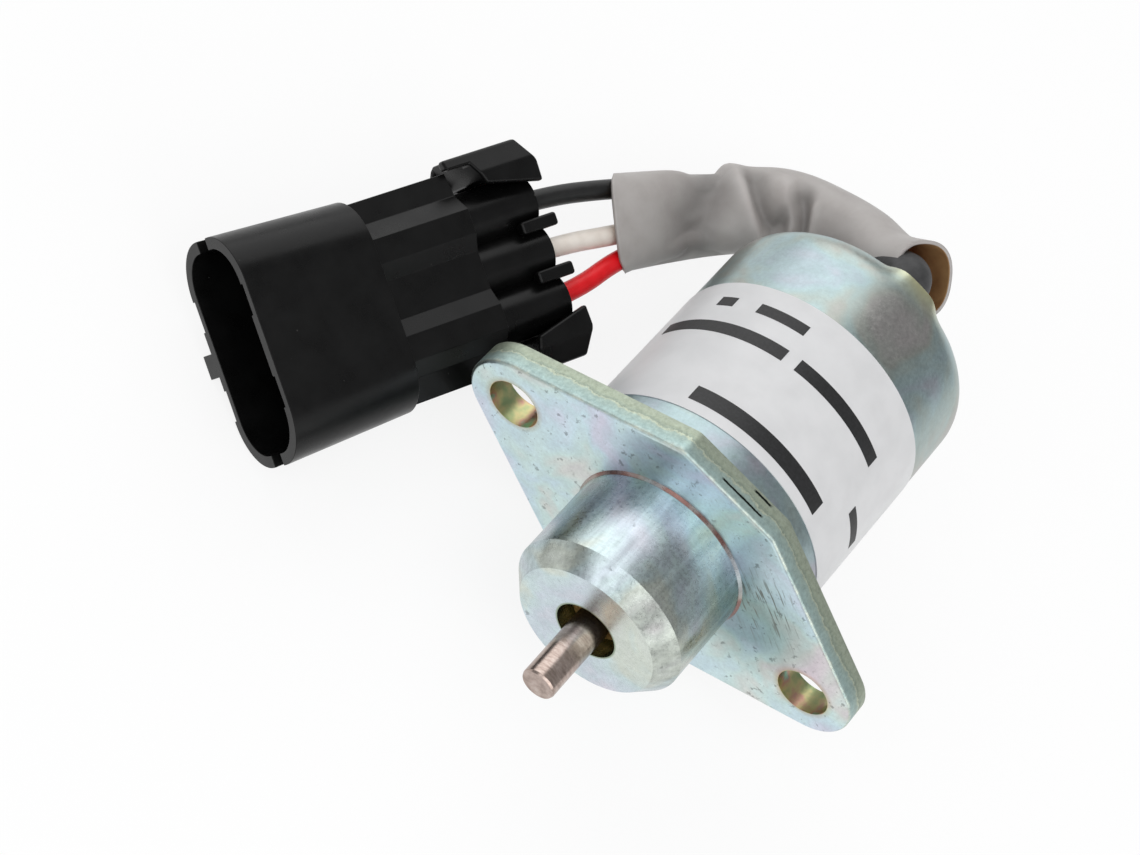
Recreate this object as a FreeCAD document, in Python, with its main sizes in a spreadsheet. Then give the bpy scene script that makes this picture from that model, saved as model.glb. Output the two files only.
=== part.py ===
import FreeCAD, Part
import math
import os
import re
import Sketcher

# Fuel shutoff solenoid, millimetres and degrees.
# The plunger runs along Y, the two flange holes lie along X, and Z is up.
# The origin is the centre of the flange's mounting face.

SIZES = {
    # Drawn can with a rolled rear rim
    "can_radius": 19.05,
    "can_wall": 1.2,
    "can_rear": 47.5,
    "shoulder_radius": 4.2,
    "rim_turned_in": 5.55,
    "exit_half_width": 4.8,
    "exit_relief": 0.4,
    "exit_end": 47.3,
    "exit_corner": 2.5,
    # Stamped mounting flange
    "flange_thick": 4.0,
    "flange_half_height": 19.75,
    "flange_flat": 7.75,
    "flange_tip": 7.0,
    "flange_corner": 1.5,
    "flange_rollover": 0.5,
    "hole_spacing": 52.5,
    "hole_radius": 3.75,
    # Nose piece, turned from bar and brazed through the flange
    "nose_radius": 12.5,
    "nose_length": 16.2,
    "nose_bevel_across": 2.28,
    "nose_bevel_along": 2.89,
    "braze_leg": 0.35,
    "nose_seat": 0.8,
    "spigot_radius": 9.5,
    "stop_spigot": 2.5,
    "bush_depth": 15.2,
    # Guide bush
    "bush_radius": 4.4,
    "bush_clearance": 0.03,
    "bush_recess": 2.7,
    "bush_lead": 0.6,
    # Push pin
    "pin_radius": 2.4,
    "pin_reach": 26.5,
    "pin_tip_bevel": 0.16,
    "pin_depth": 5.0,
    "pin_passage_gap": 0.6,
    # Pole plates
    "plate_thick": 2.5,
    "rear_plate_front": 37.0,
    # Guide tube, plunger and fixed core
    "plunger_radius": 6.5,
    "plunger_clearance": 0.05,
    "plunger_length": 15.5,
    "plunger_bevel": 0.6,
    "tube_wall": 0.5,
    "washer_thick": 0.8,
    "washer_edge_gap": 0.35,
    "rest_gap": 0.3,
    "stroke": 8.5,
    "core_neck": 5.5,
    # Return spring
    "spring_pocket": 3.9,
    "plunger_pocket_depth": 9.0,
    "core_pocket_depth": 3.0,
    "spring_mean": 3.1,
    "spring_wire": 0.45,
    "spring_turns": 9,
    "spring_closed_step": 0.95,
    # Bobbin and windings
    "bobbin_gap": 0.1,
    "bobbin_wall": 0.9,
    "bobbin_can_gap": 0.55,
    "bobbin_flange_thick": 1.2,
    "winding_margin": 1.5,
    "tape_thick": 0.3,
    # Rear cap
    "cap_clearance": 0.05,
    # Foil wrap round the can
    "foil_thick": 0.12,
    "foil_front": 7.6,
    "foil_rear": 31.8,
    "foil_wrap": 315.0,
    # Lead grommet
    "exit_inset": 6.05,
    "grommet_seat": 41.5,
    "grommet_radius": 3.4,
    "grommet_disc": 4.2,
    "grommet_disc_thick": 1.0,
    "elbow_radius": 3.15,
    "elbow_corner": 50.6,
    "elbow_length": 6.0,
    "elbow_bend": 3.4,
    "elbow_turn": 67.0,
    "elbow_side": -60.6,
    # Leads
    "lead_radius": 1.4,
    "bundle_radius": 1.7,
    # Grey sleeve
    "sleeve_wall": 0.55,
    # Connector, turned and tilted as it lies
    "connector_across": -55.3,
    "connector_along": -18.4,
    "connector_up": -8.15,
    "connector_yaw": -21.5,
    "connector_lean": 15.1,
    "connector_lift": 1.2,
    # Shroud of the connector housing
    "shroud_wide": 30.3,
    "shroud_tall": 17.4,
    "shroud_taper_wide": 1.6,
    "shroud_taper_tall": 0.8,
    "shroud_length": 18.9,
    "shroud_corner": 6.8,
    "shroud_wall": 1.6,
    "cavity_depth": 17.2,
    "rim_notch": 2.7,
    "rim_notch_depth": 2.2,
    "slit_near": 4.0,
    "slit_far": 8.1,
    "slit_deep": 0.5,
    "slit_long": 1.2,
    "tab_wide": 3.2,
    "tab_tall": 2.7,
    "tab_long": 4.5,
    "tab_place": 0.45,
    # Body of the connector housing
    "block_rear": 34.5,
    "block_half": 13.6,
    "block_ledge": 3.4,
    "panel_foot": 10.4,
    "panel_foot_height": 4.2,
    "panel_half": 8.2,
    "panel_height": 6.5,
    "recess_half": 4.9,
    "recess_floor_half": 2.6,
    "recess_height": 5.3,
    "block_bottom": 6.5,
    "block_bottom_half": 11.5,
    "block_side_bottom": 4.5,
    # Cable towers
    "tower_pitch": 6.9,
    "tower_radius": 3.75,
    "tower_rear": 46.5,
    "seal_radius": 3.0,
    "seal_bore_front": 39.3,
    "channel_half": 1.85,
    "channel_front": 19.0,
    "slot_half": 1.5,
    "slot_half_tall": 0.5,
    # Seals
    "seal_front": 40.0,
    "seal_length": 5.8,
    "seal_groove": 0.4,
    "seal_land": 0.9,
    "seal_bore_gap": 0.04,
    # Terminals
    "blade_front": 8.0,
    "blade_half": 1.4,
    "blade_half_thick": 0.4,
    "blade_point": 1.6,
    "box_half": 1.7,
    "box_rear": 30.0,
    "crimp_radius": 1.75,
    "crimp_rear": 39.0,
    # Secondary lock
    "wing_inner": 8.7,
    "wing_crease": 12.2,
    "wing_outer": 15.2,
    "wing_side": 11.0,
    "wing_top": 5.5,
    "wing_top_thick": 1.2,
    "wing_crease_height": 5.7,
    "wing_outer_top": 4.3,
    "wing_side_bottom": 4.6,
    "wing_bottom_out": 13.6,
    "wing_front": 37.2,
    "wing_front_slant": 1.8,
    "wing_inner_front": 10.6,
    "wing_rear_slant": 1.6,
    "wing_rear_flat": 11.6,
    "wing_rear": 47.4,
    "arm_front": 34.2,
    "arm_gap": 0.15,
    "arm_thick": 1.3,
    "bridge_top": 4.6,
    "bridge_bottom": 6.3,
    "bridge_front": 40.0,
    "bar_place": 3.45,
    "bar_half": 0.9,
    "bar_foot_half": 0.5,
    "bar_top": 4.4,
    "bar_foot": 2.6,
    "bar_front": 42.5,
    "leg_front": 46.8,
    "leg_rear": 48.2,
}

os.makedirs("parts", exist_ok=True)
doc = FreeCAD.newDocument("fuel_shutoff_solenoid")
sheet = doc.addObject("Spreadsheet::Sheet", "Sizes")
for row, (name, value) in enumerate(SIZES.items(), start=1):
    sheet.set("A%d" % row, name)
    sheet.set("B%d" % row, str(value))
    sheet.setAlias("B%d" % row, name)
doc.recompute()

Vector = FreeCAD.Vector
PIECES = []


def mm(name):
    """One driving size, read from the sheet."""
    return float(sheet.get(name))


def bound(text):
    """The expression with each driving size written as a cell of the sheet."""
    def cell(word):
        return "Sizes." + word.group() if word.group() in SIZES else word.group()

    return re.sub(r"[a-z_]+", cell, text)


def new_body(label, placement=None):
    """An empty body that becomes the node of that name."""
    body = doc.addObject("PartDesign::Body", label)
    body.Label = label
    if placement:
        body.setExpression("Placement", placement)
    PIECES.append(body)
    return body


def shape_piece(label, shape):
    """A node whose shape comes from the functions below."""
    piece = doc.addObject("Part::Feature", label)
    piece.Label = label
    piece.Shape = shape
    PIECES.append(piece)
    return piece


def sketch_on(body, name, role, offset=None):
    """A sketch on one of the body's own planes, moved along the plane's normal."""
    sketch = body.newObject("Sketcher::SketchObject", name)
    plane = [feature for feature in body.Origin.OriginFeatures if feature.Role == role][0]
    sketch.AttachmentSupport = [(plane, "")]
    sketch.MapMode = "FlatFace"
    if offset:
        sketch.setExpression(".AttachmentOffset.Base.z", bound(offset))
    return sketch


def fix_point(sketch, geometry, end, across, along):
    """Holds one point of the sketch at two expressions."""
    for kind, text, axis in (("DistanceX", across, -2), ("DistanceY", along, -1)):
        if text == "0":
            sketch.addConstraint(Sketcher.Constraint("PointOnObject", geometry, end, axis))
        else:
            number = sketch.addConstraint(Sketcher.Constraint(kind, -1, 1, geometry, end, 1.0))
            sketch.setExpression("Constraints[%d]" % number, bound(text))


def add_polygon(sketch, corners):
    """A closed outline of straight edges through the corners."""
    count = len(corners)
    first = sketch.GeometryCount
    ring = [2 * math.pi * k / count for k in range(count)]
    seeds = [Vector(math.cos(angle), math.sin(angle), 0) for angle in ring]
    for k in range(count):
        sketch.addGeometry(Part.LineSegment(seeds[k], seeds[(k + 1) % count]))
    for k in range(count):
        sketch.addConstraint(Sketcher.Constraint("Coincident", first + k, 2, first + (k + 1) % count, 1))
    for k, (across, along) in enumerate(corners):
        fix_point(sketch, first + k, 1, across, along)


def add_circle(sketch, across, along, radius):
    """A circle with its centre and radius held by expressions."""
    number = sketch.addGeometry(Part.Circle(Vector(1, 1, 0), Vector(0, 0, 1), 1))
    fix_point(sketch, number, 3, across, along)
    held = sketch.addConstraint(Sketcher.Constraint("Radius", number, 1.0))
    sketch.setExpression("Constraints[%d]" % held, bound(radius))


def mirrored(corners):
    """The corners and their mirror images across the second axis, as one closed outline."""
    other = [(across[1:] if across.startswith("-") else "-" + across, along) for across, along in corners]
    return corners + other[::-1]


def box_corners(half_across, half_along):
    """The corners of a rectangle centred on the sketch's origin."""
    right = [("%s" % half_across, "-(%s)" % half_along), ("%s" % half_across, half_along)]
    return right + [("-(%s)" % half_across, half_along), ("-(%s)" % half_across, "-(%s)" % half_along)]


def revolve(body, name, sketch):
    """A full turn about the sketch's vertical axis, which is the plunger axis."""
    feature = body.newObject("PartDesign::Revolution", name)
    feature.Profile = sketch
    feature.ReferenceAxis = (sketch, ["V_Axis"])
    feature.Angle = 360
    return feature


def turned(label, corners, placement=None):
    """A turned piece; each corner is a radius and a place along the axis."""
    body = new_body(label, placement)
    sketch = sketch_on(body, label + "_profile", "XY_Plane")
    add_polygon(sketch, corners)
    revolve(body, label + "_turning", sketch)
    return body


def prism(body, name, draw, start, length, cut=False):
    """Grows or cuts along +Y from start; draw adds the outlines to the sketch across X and Z."""
    sketch = sketch_on(body, name + "_outline", "XZ_Plane", "-(%s)" % start)
    draw(sketch)
    feature = body.newObject("PartDesign::Pocket" if cut else "PartDesign::Pad", name)
    feature.Profile = sketch
    feature.setExpression("Length", bound(length))
    feature.Reversed = not cut
    return feature


def slab(body, name, corners, bottom, height, cut=False):
    """Grows or cuts along +Z from bottom, with an outline across X and Y."""
    start = "(%s) + (%s)" % (bottom, height) if cut else bottom
    sketch = sketch_on(body, name + "_outline", "XY_Plane", start)
    add_polygon(sketch, corners)
    feature = body.newObject("PartDesign::Pocket" if cut else "PartDesign::Pad", name)
    feature.Profile = sketch
    feature.setExpression("Length", bound(height))
    return feature


def dress(body, kind, name, size, test):
    """A fillet or a chamfer on every edge of the body's last feature that passes the test."""
    doc.recompute()
    base = body.Tip
    found = ["Edge%d" % k for k, edge in enumerate(base.Shape.Edges, start=1) if test(edge)]
    feature = body.newObject("PartDesign::" + kind, name)
    feature.Base = (base, found)
    feature.setExpression("Radius" if kind == "Fillet" else "Size", bound(size))
    return feature


def is_ring(edge, radius, along):
    """True for a circle about the plunger axis with that radius at that place."""
    curve = edge.Curve
    if not isinstance(curve, Part.Circle):
        return False
    centred = math.hypot(curve.Center.x, curve.Center.z) < 0.01
    return centred and abs(curve.Radius - radius) < 0.01 and abs(curve.Center.y - along) < 0.01


def make_case_can():
    """Deep-drawn steel can, rolled in at the rear except where the leads come out."""
    body = turned("case_can", [
        ("can_radius", "flange_thick"),
        ("can_radius", "can_rear"),
        ("can_radius - rim_turned_in", "can_rear"),
        ("can_radius - rim_turned_in", "can_rear - can_wall"),
        ("can_radius - can_wall", "can_rear - can_wall"),
        ("can_radius - can_wall", "flange_thick"),
    ])
    dress(body, "Fillet", "can_shoulder", "shoulder_radius",
          lambda edge: is_ring(edge, mm("can_radius"), mm("can_rear")))
    dress(body, "Fillet", "can_inner_shoulder", "shoulder_radius - can_wall",
          lambda edge: is_ring(edge, mm("can_radius") - mm("can_wall"), mm("can_rear") - mm("can_wall")))
    window = [
        ("exit_half_width", "can_radius + can_wall"),
        ("-exit_half_width", "can_radius + can_wall"),
        ("-exit_half_width", "can_radius - 2 * exit_inset"),
        ("exit_half_width", "can_radius - 2 * exit_inset"),
    ]
    prism(body, "exit_window", lambda sketch: add_polygon(sketch, window),
          "can_rear - shoulder_radius", "2 * shoulder_radius", cut=True)
    # The unrolled tongue of the wall that stands over the leads
    sketch = sketch_on(body, "tongue_profile", "YZ_Plane")
    add_polygon(sketch, [
        ("can_rear - shoulder_radius", "can_radius"),
        ("exit_end", "can_radius"),
        ("exit_end", "can_radius - can_wall"),
        ("can_rear - shoulder_radius", "can_radius - can_wall"),
    ])
    tongue = body.newObject("PartDesign::Revolution", "exit_tongue")
    tongue.Profile = sketch
    tongue.ReferenceAxis = (sketch, ["H_Axis"])
    tongue.Midplane = True
    tongue.setExpression("Angle", bound("2 * asin((exit_half_width - exit_relief) / can_radius)"))
    dress(body, "Fillet", "tongue_corners", "exit_corner", is_tongue_corner)


def is_tongue_corner(edge):
    """True for the two short edges through the wall at the tongue's free end."""
    middle = edge.BoundBox.Center
    straight = isinstance(edge.Curve, Part.Line)
    return straight and abs(middle.y - mm("exit_end")) < 0.01 and edge.Length < 2 * mm("can_wall")


def make_mounting_flange():
    """Stamped plate: flats above and below, and a round tip about each bolt hole."""
    body = new_body("mounting_flange")
    sketch = sketch_on(body, "flange_outline", "XZ_Plane")
    half = mm("hole_spacing") / 2
    flat = mm("flange_flat")
    tall = mm("flange_half_height")
    tip = mm("flange_tip")
    # Where the slanted edge leaves the flat's corner and meets the tip
    slope = math.atan2(-tall, half - flat) + math.asin(tip / math.hypot(half - flat, tall))
    reach = math.sqrt((half - flat) ** 2 + tall ** 2 - tip ** 2)
    touch = Vector(flat + reach * math.cos(slope), tall + reach * math.sin(slope), 0)
    swing = math.atan2(touch.y, touch.x - half)
    corners = [Vector(flat, tall, 0), Vector(flat, -tall, 0), Vector(-flat, -tall, 0), Vector(-flat, tall, 0)]
    right_low = Vector(touch.x, -touch.y, 0)
    left_low = Vector(-touch.x, -touch.y, 0)
    left_high = Vector(-touch.x, touch.y, 0)
    right_tip = Part.ArcOfCircle(Part.Circle(Vector(half, 0, 0), Vector(0, 0, 1), tip), -swing, swing)
    left_tip = Part.ArcOfCircle(
        Part.Circle(Vector(-half, 0, 0), Vector(0, 0, 1), tip), math.pi - swing, math.pi + swing)
    for piece in (
        Part.LineSegment(corners[3], corners[0]),
        Part.LineSegment(corners[0], touch),
        right_tip,
        Part.LineSegment(right_low, corners[1]),
        Part.LineSegment(corners[1], corners[2]),
        Part.LineSegment(corners[2], left_low),
        left_tip,
        Part.LineSegment(left_high, corners[3]),
    ):
        sketch.addGeometry(piece)
    for first, end, second, start in ((0, 2, 1, 1), (3, 2, 4, 1), (4, 2, 5, 1), (7, 2, 0, 1)):
        sketch.addConstraint(Sketcher.Constraint("Coincident", first, end, second, start))
    for first, end, second, start in ((1, 2, 2, 2), (2, 1, 3, 1), (5, 2, 6, 2), (6, 1, 7, 1)):
        sketch.addConstraint(Sketcher.Constraint("Tangent", first, end, second, start))
    fix_point(sketch, 0, 2, "flange_flat", "flange_half_height")
    fix_point(sketch, 4, 1, "flange_flat", "-flange_half_height")
    fix_point(sketch, 4, 2, "-flange_flat", "-flange_half_height")
    fix_point(sketch, 0, 1, "-flange_flat", "flange_half_height")
    for arc, place in ((2, "hole_spacing / 2"), (6, "-hole_spacing / 2")):
        fix_point(sketch, arc, 3, place, "0")
        held = sketch.addConstraint(Sketcher.Constraint("Radius", arc, tip))
        sketch.setExpression("Constraints[%d]" % held, bound("flange_tip"))
    for place in ("hole_spacing / 2", "-hole_spacing / 2"):
        add_circle(sketch, place, "0", "hole_radius")
    add_circle(sketch, "0", "0", "spigot_radius")
    plate = body.newObject("PartDesign::Pad", "flange_plate")
    plate.Profile = sketch
    plate.Reversed = True
    plate.setExpression("Length", bound("flange_thick"))
    dress(body, "Fillet", "flange_corners", "flange_corner", is_flange_corner)
    dress(body, "Fillet", "flange_rolled_edge", "flange_rollover", is_flange_front_edge)
    prism(body, "nose_seat_bore", lambda sketch: add_circle(sketch, "0", "0", "nose_radius + braze_leg"),
          "0", "nose_seat", cut=True)


def is_flange_corner(edge):
    """True for the edges through the plate at the ends of the two flats."""
    middle = edge.BoundBox.Center
    at_flat = abs(abs(middle.x) - mm("flange_flat")) < 0.01
    return at_flat and abs(abs(middle.z) - mm("flange_half_height")) < 0.01 and edge.BoundBox.YLength > 1


def is_flange_front_edge(edge):
    """True for the outer edge of the mounting face, which the stamping rolls over."""
    box = edge.BoundBox
    if abs(box.YMax) > 0.01 or abs(box.YMin) > 0.01:
        return False
    if not isinstance(edge.Curve, Part.Circle):
        return True
    inner = (mm("hole_radius"), mm("spigot_radius"))
    return all(abs(edge.Curve.Radius - radius) > 0.01 for radius in inner)


def make_nose_and_pin():
    """The pilot boss that locates the solenoid, its bush, and the pin that comes out of it."""
    turned("nose_piece", [
        ("bush_radius", "-nose_length"),
        ("nose_radius - nose_bevel_across", "-nose_length"),
        ("nose_radius", "nose_bevel_along - nose_length"),
        ("nose_radius", "-braze_leg"),
        ("nose_radius + braze_leg", "0"),
        ("nose_radius + braze_leg", "nose_seat"),
        ("spigot_radius", "nose_seat"),
        ("spigot_radius", "flange_thick + plate_thick"),
        ("plunger_radius + plunger_clearance", "flange_thick + plate_thick"),
        ("plunger_radius + plunger_clearance", "flange_thick + plate_thick + stop_spigot"),
        ("pin_radius + pin_passage_gap", "flange_thick + plate_thick + stop_spigot"),
        ("pin_radius + pin_passage_gap", "bush_depth - nose_length"),
        ("bush_radius", "bush_depth - nose_length"),
    ])
    turned("guide_bush", [
        ("pin_radius + bush_clearance", "bush_depth - nose_length"),
        ("bush_radius", "bush_depth - nose_length"),
        ("bush_radius", "bush_recess + bush_lead - nose_length"),
        ("bush_radius - bush_lead", "bush_recess - nose_length"),
        ("pin_radius + bush_clearance", "bush_recess - nose_length"),
    ])
    turned("push_pin", [
        ("0", "-pin_reach"),
        ("pin_radius - pin_tip_bevel", "-pin_reach"),
        ("pin_radius", "2 * pin_tip_bevel - pin_reach"),
        ("pin_radius", PLUNGER_FRONT + " + pin_depth"),
        ("0", PLUNGER_FRONT + " + pin_depth"),
    ])


STOP_FACE = "flange_thick + plate_thick + stop_spigot"
PLUNGER_FRONT = STOP_FACE + " + washer_thick + rest_gap"
PLUNGER_REAR = PLUNGER_FRONT + " + plunger_length"
CORE_FRONT = PLUNGER_REAR + " + stroke + rest_gap"
BOBBIN_BORE = "plunger_radius + plunger_clearance + tube_wall + bobbin_gap"
BOBBIN_EDGE = "can_radius - can_wall - bobbin_can_gap"
HOLD_IN_EDGE = BOBBIN_EDGE + " - winding_margin"
# The pull-in winding fills this share of the bobbin's depth, and the hold-in winding lies over it.
PULL_IN_SHARE = 0.44
PULL_IN_EDGE = f"(1 - {PULL_IN_SHARE}) * ({BOBBIN_BORE} + bobbin_wall) + {PULL_IN_SHARE} * ({HOLD_IN_EDGE})"
COIL_FRONT = "flange_thick + plate_thick + bobbin_gap + bobbin_flange_thick"
COIL_REAR = "rear_plate_front - bobbin_gap - bobbin_flange_thick"
PLATE_REAR = "rear_plate_front + plate_thick"
CAP_REAR = "can_rear - can_wall - cap_clearance"


def ring(label, inner, outer, front, rear):
    """A plain ring with a square section."""
    return turned(label, [(inner, front), (outer, front), (outer, rear), (inner, rear)])


def make_magnetic_circuit():
    """Pole plates, guide tube, bumper washer, plunger and the fixed core behind it."""
    ring("front_pole_plate", "spigot_radius", "can_radius - can_wall",
         "flange_thick", "flange_thick + plate_thick")
    ring("rear_pole_plate", "core_neck", "can_radius - can_wall", "rear_plate_front", PLATE_REAR)
    ring("guide_tube", "plunger_radius + plunger_clearance", "plunger_radius + plunger_clearance + tube_wall",
         "flange_thick + plate_thick", "rear_plate_front")
    ring("stop_washer", "pin_radius + pin_passage_gap", "plunger_radius - washer_edge_gap",
         STOP_FACE, STOP_FACE + " + washer_thick")
    turned("plunger", [
        ("pin_radius", PLUNGER_FRONT),
        ("plunger_radius - plunger_bevel", PLUNGER_FRONT),
        ("plunger_radius", PLUNGER_FRONT + " + plunger_bevel"),
        ("plunger_radius", PLUNGER_REAR + " - plunger_bevel"),
        ("plunger_radius - plunger_bevel", PLUNGER_REAR),
        ("spring_pocket", PLUNGER_REAR),
        ("spring_pocket", PLUNGER_REAR + " - plunger_pocket_depth"),
        ("0", PLUNGER_REAR + " - plunger_pocket_depth"),
        ("0", PLUNGER_FRONT + " + pin_depth"),
        ("pin_radius", PLUNGER_FRONT + " + pin_depth"),
    ])
    turned("backstop_core", [
        ("spring_pocket", CORE_FRONT),
        ("plunger_radius + plunger_clearance", CORE_FRONT),
        ("plunger_radius + plunger_clearance", "rear_plate_front"),
        ("core_neck", "rear_plate_front"),
        ("core_neck", PLATE_REAR),
        ("0", PLATE_REAR),
        ("0", CORE_FRONT + " + core_pocket_depth"),
        ("spring_pocket", CORE_FRONT + " + core_pocket_depth"),
    ])


def make_coil():
    """Moulded bobbin with the strong pull-in winding, the long hold-in winding and its tape."""
    turned("coil_bobbin", [
        (BOBBIN_BORE, "flange_thick + plate_thick + bobbin_gap"),
        (BOBBIN_EDGE, "flange_thick + plate_thick + bobbin_gap"),
        (BOBBIN_EDGE, COIL_FRONT),
        (BOBBIN_BORE + " + bobbin_wall", COIL_FRONT),
        (BOBBIN_BORE + " + bobbin_wall", COIL_REAR),
        (BOBBIN_EDGE, COIL_REAR),
        (BOBBIN_EDGE, "rear_plate_front - bobbin_gap"),
        (BOBBIN_BORE, "rear_plate_front - bobbin_gap"),
    ])
    ring("pull_in_winding", BOBBIN_BORE + " + bobbin_wall", PULL_IN_EDGE, COIL_FRONT, COIL_REAR)
    ring("hold_in_winding", PULL_IN_EDGE, HOLD_IN_EDGE, COIL_FRONT, COIL_REAR)
    ring("winding_tape", HOLD_IN_EDGE, HOLD_IN_EDGE + " + tape_thick", COIL_FRONT, COIL_REAR)


def make_rear_cap():
    """Moulded cap under the rolled rim, with the socket for the lead grommet."""
    body = turned("rear_cap", [
        ("0", PLATE_REAR),
        ("can_radius - can_wall - cap_clearance", PLATE_REAR),
        ("can_radius - can_wall - cap_clearance", CAP_REAR),
        ("0", CAP_REAR),
    ])
    edge_radius = mm("can_radius") - mm("can_wall") - mm("cap_clearance")
    edge_place = mm("can_rear") - mm("can_wall") - mm("cap_clearance")
    dress(body, "Fillet", "cap_edge", "shoulder_radius - can_wall",
          lambda edge: is_ring(edge, edge_radius, edge_place))
    prism(body, "grommet_socket",
          lambda sketch: add_circle(sketch, "0", "can_radius - exit_inset", "grommet_radius"),
          "grommet_seat", "can_rear - grommet_seat", cut=True)


def make_foil():
    """Foil label, wrapped round the can with a gap underneath."""
    body = new_body("label")
    sketch = sketch_on(body, "foil_profile", "YZ_Plane")
    add_polygon(sketch, [
        ("foil_front", "can_radius"),
        ("foil_rear", "can_radius"),
        ("foil_rear", "can_radius + foil_thick"),
        ("foil_front", "can_radius + foil_thick"),
    ])
    wrap = body.newObject("PartDesign::Revolution", "foil_wrap")
    wrap.Profile = sketch
    wrap.ReferenceAxis = (sketch, ["H_Axis"])
    wrap.Midplane = True
    wrap.setExpression("Angle", bound("foil_wrap"))


def rounded_path(points, tangents):
    """Straight runs joined by tangent arcs; each inner point gives up its tangent length on both sides."""
    edges = []
    radii = []
    here = points[0]
    for before, corner, after, tangent in zip(points, points[1:], points[2:], tangents):
        back = before - corner
        ahead = after - corner
        radius = tangent / math.tan((math.pi - back.getAngle(ahead)) / 2)
        back.normalize()
        ahead.normalize()
        start = corner + back * tangent
        end = corner + ahead * tangent
        middle = corner + (back + ahead).normalize() * (math.hypot(radius, tangent) - radius)
        if (start - here).Length > 1e-6:
            edges.append(Part.LineSegment(here, start).toShape())
        edges.append(Part.Arc(start, middle, end).toShape())
        radii.append(radius)
        here = end
    if (points[-1] - here).Length > 1e-6:
        edges.append(Part.LineSegment(here, points[-1]).toShape())
    return Part.Wire(edges), radii


def tube(points, tangents, radius):
    """A round solid along the rounded path, with the path's length and radii."""
    path, radii = rounded_path(points, tangents)
    section = Part.Wire([Part.makeCircle(radius, points[0], points[1] - points[0])])
    return path.makePipe(Part.Face(section)), path.Length, radii


def make_return_spring():
    """Compression spring with closed ends, from the plunger's pocket to the core's."""
    wire = mm("spring_wire")
    plunger_front = mm("flange_thick") + mm("plate_thick") + mm("stop_spigot")
    plunger_front += mm("washer_thick") + mm("rest_gap")
    plunger_rear = plunger_front + mm("plunger_length")
    front = plunger_rear - mm("plunger_pocket_depth") + wire
    rear = plunger_rear + mm("stroke") + mm("rest_gap") + mm("core_pocket_depth") - wire
    per_turn = 6
    turns = int(mm("spring_turns"))
    corner_radius = mm("spring_mean") / math.cos(math.pi / per_turn)
    closed = mm("spring_closed_step")
    pitch = (rear - front - 2 * closed) / (turns - 2)

    def advance(turn):
        """How far the wire has climbed after so many turns; the first and last turns lie closed."""
        opened = min(max(turn - 1, 0), turns - 2)
        lying = min(turn, 1) + max(turn - turns + 1, 0)
        return front + lying * closed + opened * pitch

    corners = []
    for step in range(turns * per_turn + 1):
        angle = 2 * math.pi * step / per_turn
        along = advance(step / per_turn)
        corners.append(Vector(corner_radius * math.cos(angle), along, corner_radius * math.sin(angle)))
    # Each arc meets the next halfway along the side between two corners
    corners[0] = (corners[0] + corners[1]) * 0.5
    corners[-1] = (corners[-1] + corners[-2]) * 0.5
    sides = [(after - before).Length for before, after in zip(corners, corners[1:])]
    sides[0] *= 2
    sides[-1] *= 2
    tangents = [min(first, second) / 2 for first, second in zip(sides, sides[1:])]
    shape, _length, _radii = tube(corners, tangents, wire)
    shape_piece("return_spring", shape)


def elbow_direction():
    """The way the leads point as they leave the grommet."""
    turn = math.radians(mm("elbow_turn"))
    side = math.radians(mm("elbow_side"))
    return Vector(-math.sin(turn) * math.cos(side), math.cos(turn), math.sin(turn) * math.sin(side))


def make_lead_grommet():
    """Moulded rubber elbow: a plug in the cap, a disc on its face and a bent spout round the leads."""
    height = mm("can_radius") - mm("exit_inset")
    seat = mm("grommet_seat")
    cap_face = mm("can_rear") - mm("can_wall") - mm("cap_clearance")
    along = Vector(0, 1, 0)
    plug = Part.makeCylinder(mm("grommet_radius"), cap_face - seat, Vector(0, seat, height), along)
    disc = Part.makeCylinder(mm("grommet_disc"), mm("grommet_disc_thick"), Vector(0, cap_face, height), along)
    corner = Vector(0, mm("elbow_corner"), height)
    start = Vector(0, cap_face + mm("grommet_disc_thick") / 2, height)
    tangent = mm("elbow_bend") * math.tan(math.radians(mm("elbow_turn")) / 2)
    end = corner + elbow_direction() * mm("elbow_length")
    spout, _length, _radii = tube([start, corner, end], [tangent], mm("elbow_radius"))
    shape_piece("lead_grommet", plug.fuse([disc, spout]).removeSplitter())
    return end


# Share of the shorter run at a corner that its bend may take from both sides
BEND_SHARE = 0.45

# Routes of the three leads between the grommet's spout and the towers, chosen by hand along the sleeve.
LEAD_ROUTES = {
    "black": [
        (-6.9, 57.5, 4.6),
        (-10.8, 61.4, 0.5),
        (-15.5, 62.7, -3.9),
        (-20.8, 60.7, -7.1),
        (-25.6, 56.2, -8.4),
        (-29.6, 50.7, -8.3),
        (-33.4, 45.2, -7.2),
        (-37.0, 39.7, -5.7),
        (-43.3, 29.5, -5.4),
    ],
    "white": [
        (-6.3, 55.2, 2.8),
        (-10.1, 58.8, -1.0),
        (-14.1, 60.2, -5.2),
        (-18.8, 58.5, -8.3),
        (-23.1, 54.2, -9.7),
        (-26.7, 48.7, -9.7),
        (-29.5, 42.7, -9.1),
        (-32.1, 36.5, -8.2),
        (-37.1, 27.1, -7.2),
    ],
    "red": [
        (-4.2, 57.2, 2.4),
        (-7.7, 59.5, -3.1),
        (-12.3, 59.0, -7.4),
        (-16.8, 56.5, -9.7),
        (-20.8, 52.4, -10.8),
        (-24.2, 47.1, -10.9),
        (-27.0, 41.1, -10.3),
        (-29.7, 35.0, -9.4),
        (-30.9, 24.6, -9.0),
    ],
}

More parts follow.
